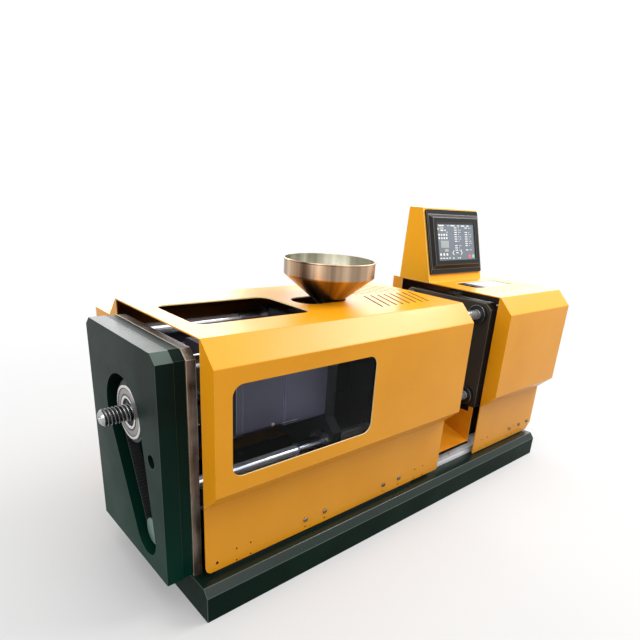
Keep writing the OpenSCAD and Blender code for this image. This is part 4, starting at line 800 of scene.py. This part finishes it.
def screw_row(name, row, side):
    """A row of screws on one side: the first is turned at its place, and copied to each step along X."""
    start, steps = row
    head = pan_head("head", (start, side * skirt_y, screw_z), (0, side, 0), head_radius, head_height)
    made = [head]
    for step in steps:
        twin = head.copy()
        twin.data = head.data.copy()
        scene.collection.objects.link(twin)
        twin.data.transform(Matrix.Translation((step * MM, 0, 0)))
        made.append(twin)
    bpy.ops.object.select_all(action="DESELECT")
    for twin in made:
        twin.select_set(True)
    bpy.context.view_layer.objects.active = head
    bpy.ops.object.join()
    head.name = name
    head.data.name = name
    return head


fit(screw_row("left_skirt_screws_front", left_row, -1), dull_zinc, "machine_frame", "bright_steel")
fit(screw_row("left_skirt_screws_rear", left_row, 1), dull_zinc, "machine_frame", "bright_steel",
    "left_cover_screws")
fit(screw_row("right_skirt_screws", right_row, -1), dull_zinc, "guard", "bright_steel",
    "right_cover_screws")


# Operator panel: a moulded charcoal frame with a stepped bevel, and a power inlet in the same
# plastic. The display lies 2 mm deep, with a black mask along its top and right edges.
charcoal = surface("moulded_charcoal_abs", "#181714", "#11110F", (0.36, 0.46), 0.5, 0.012, IOR=1.25)
charcoal_edge = surface("charcoal_abs_with_painted_edge_highlight", "#4E4A42", "#3B382F", (0.3, 0.4), 0.5, 0.006)
dress("panel_frame", charcoal, 0.8, charcoal_edge)
dress("power_inlet", charcoal, 0.5)
# The plastic is warm and near black, with a fine moulded grain, and its edges are painted paler as a
# highlight. The glass is smooth, so it mirrors the room evenly, and its grey is partly that mirror and
# partly a painted reflection in its colour.
display_glass_with_painted_reflection = surface("display_glass_with_painted_reflection", "#727C87", "#6A747F", (0.14, 0.2), 2.0, 0.0005, IOR=1.4)
dress("panel_screen", display_glass_with_painted_reflection)

# The display's middle lies up the console's sloping face and a little out of it.
console_low, console_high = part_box("console")
lean = 74.5
screen_up, screen_out = 89, 10
screen_w, screen_h = 148, 84
mask_top, mask_side, mask_thickness = 3.2, 5, 0.3
foot = Matrix.Translation(((console_low.x + console_high.x) / 2, console_low.y, console_low.z))
slope = foot @ Matrix.Rotation(math.radians(lean), 4, "X")
screen_face = slope @ Matrix.Translation((0, screen_up * MM, screen_out * MM))
mask = plates("display_mask", mask_thickness,
              [(0, screen_h / 2 - 1.7, screen_w - 0.4, mask_top),
               (screen_w / 2 - 2.7, -1.7, mask_side, screen_h - 3.8)])
# The strips are plain black, along the top and right edges of the display.
mask_black, tree = begin("black_strips_on_the_screen_edges")
skin = add(tree, "ShaderNodeBsdfPrincipled", {"Base Color": colour("#0A0A0B"), "Roughness": 0.22})
add(tree, "ShaderNodeOutputMaterial", {}, {0: skin.outputs[0]})
fit(place_piece(mask, screen_face), mask_black, "guard", "display")


# Marks on the display: the rows, squares, keys and arrows of a plain menu. They are thin lit tiles,
# white apart from two olive tabs, a grey field and the red and green keys.
row_pitch, mark_thickness = 5.1, 0.2
table = []
for group, left in enumerate((-9, 33)):
    for row in range(11):
        y = 31 - row * row_pitch
        if (row * 3 + group * 2) % 8 != 5:
            table += [(left + 5, y, 10, 1.9), (left + 17, y, 2.6, 1.6)]
            if (row + group) % 3:
                table.append((left + 23 + row % 2, y, 3.2, 1.6))
squares = [(-68 + 9.5 * i, 15 - 7.5 * j, 5.2, 4.2) for i in range(4) for j in range(2)]
keys = [(-66 + 12 * i, -29, 6, 5) for i in range(3)] + [(-66 + 11 * i, -37.5, 7, 2) for i in range(4)]
keys += [(-18, -38, 5, 2.6), (0, -38, 3, 2.6), (8, -38, 5, 2.6), (-70, 28, 3, 5), (-2, -26, 9, 2.2)]
title = [(-58, 35.5, 20, 2.6), (-31, 35.5, 8, 1.2), (-14, 35.5, 16, 2.4), (8, 35.5, 6, 2.4),
         (26, 35.5, 14, 2.4), (46, 35.5, 9, 2.4), (-56, 25, 10, 3), (-44, 25, 5, 3), (-37, 21, 3, 2)]
arrows = [(x + way * 2.0 * step, -26 + side * 2.0 * step, 2.6, 2.2) for x, way in ((-20, 1), (17, -1))
          for step in range(3) for side in ((1, -1) if step else (1,))]
mark_sets = {
    "menu_marks": ("#DDE1E4", table + squares + keys + title + arrows),
    "menu_tabs": ("#9DA38F", [(-57, 30, 15, 5), (-43, -20, 14, 6)]),
    "menu_field": ("#939C9F", [(-48, -6, 30, 16)]),
    "red_key": ("#E2566E", [(48, -35, 11, 8)]),
    "green_key": ("#7FC9A8", [(63, -35, 8, 8)]),
}
for name, (code, places) in mark_sets.items():
    lit, tree = begin("lit_" + name)
    skin = add(tree, "ShaderNodeBsdfPrincipled", {"Base Color": colour(code), "Roughness": 0.3,
               "Emission Color": colour(code), "Emission Strength": 0.12})
    add(tree, "ShaderNodeOutputMaterial", {}, {0: skin.outputs[0]})
    fit(place_piece(plates(name, mark_thickness, places), screen_face), lit, "guard", "display")
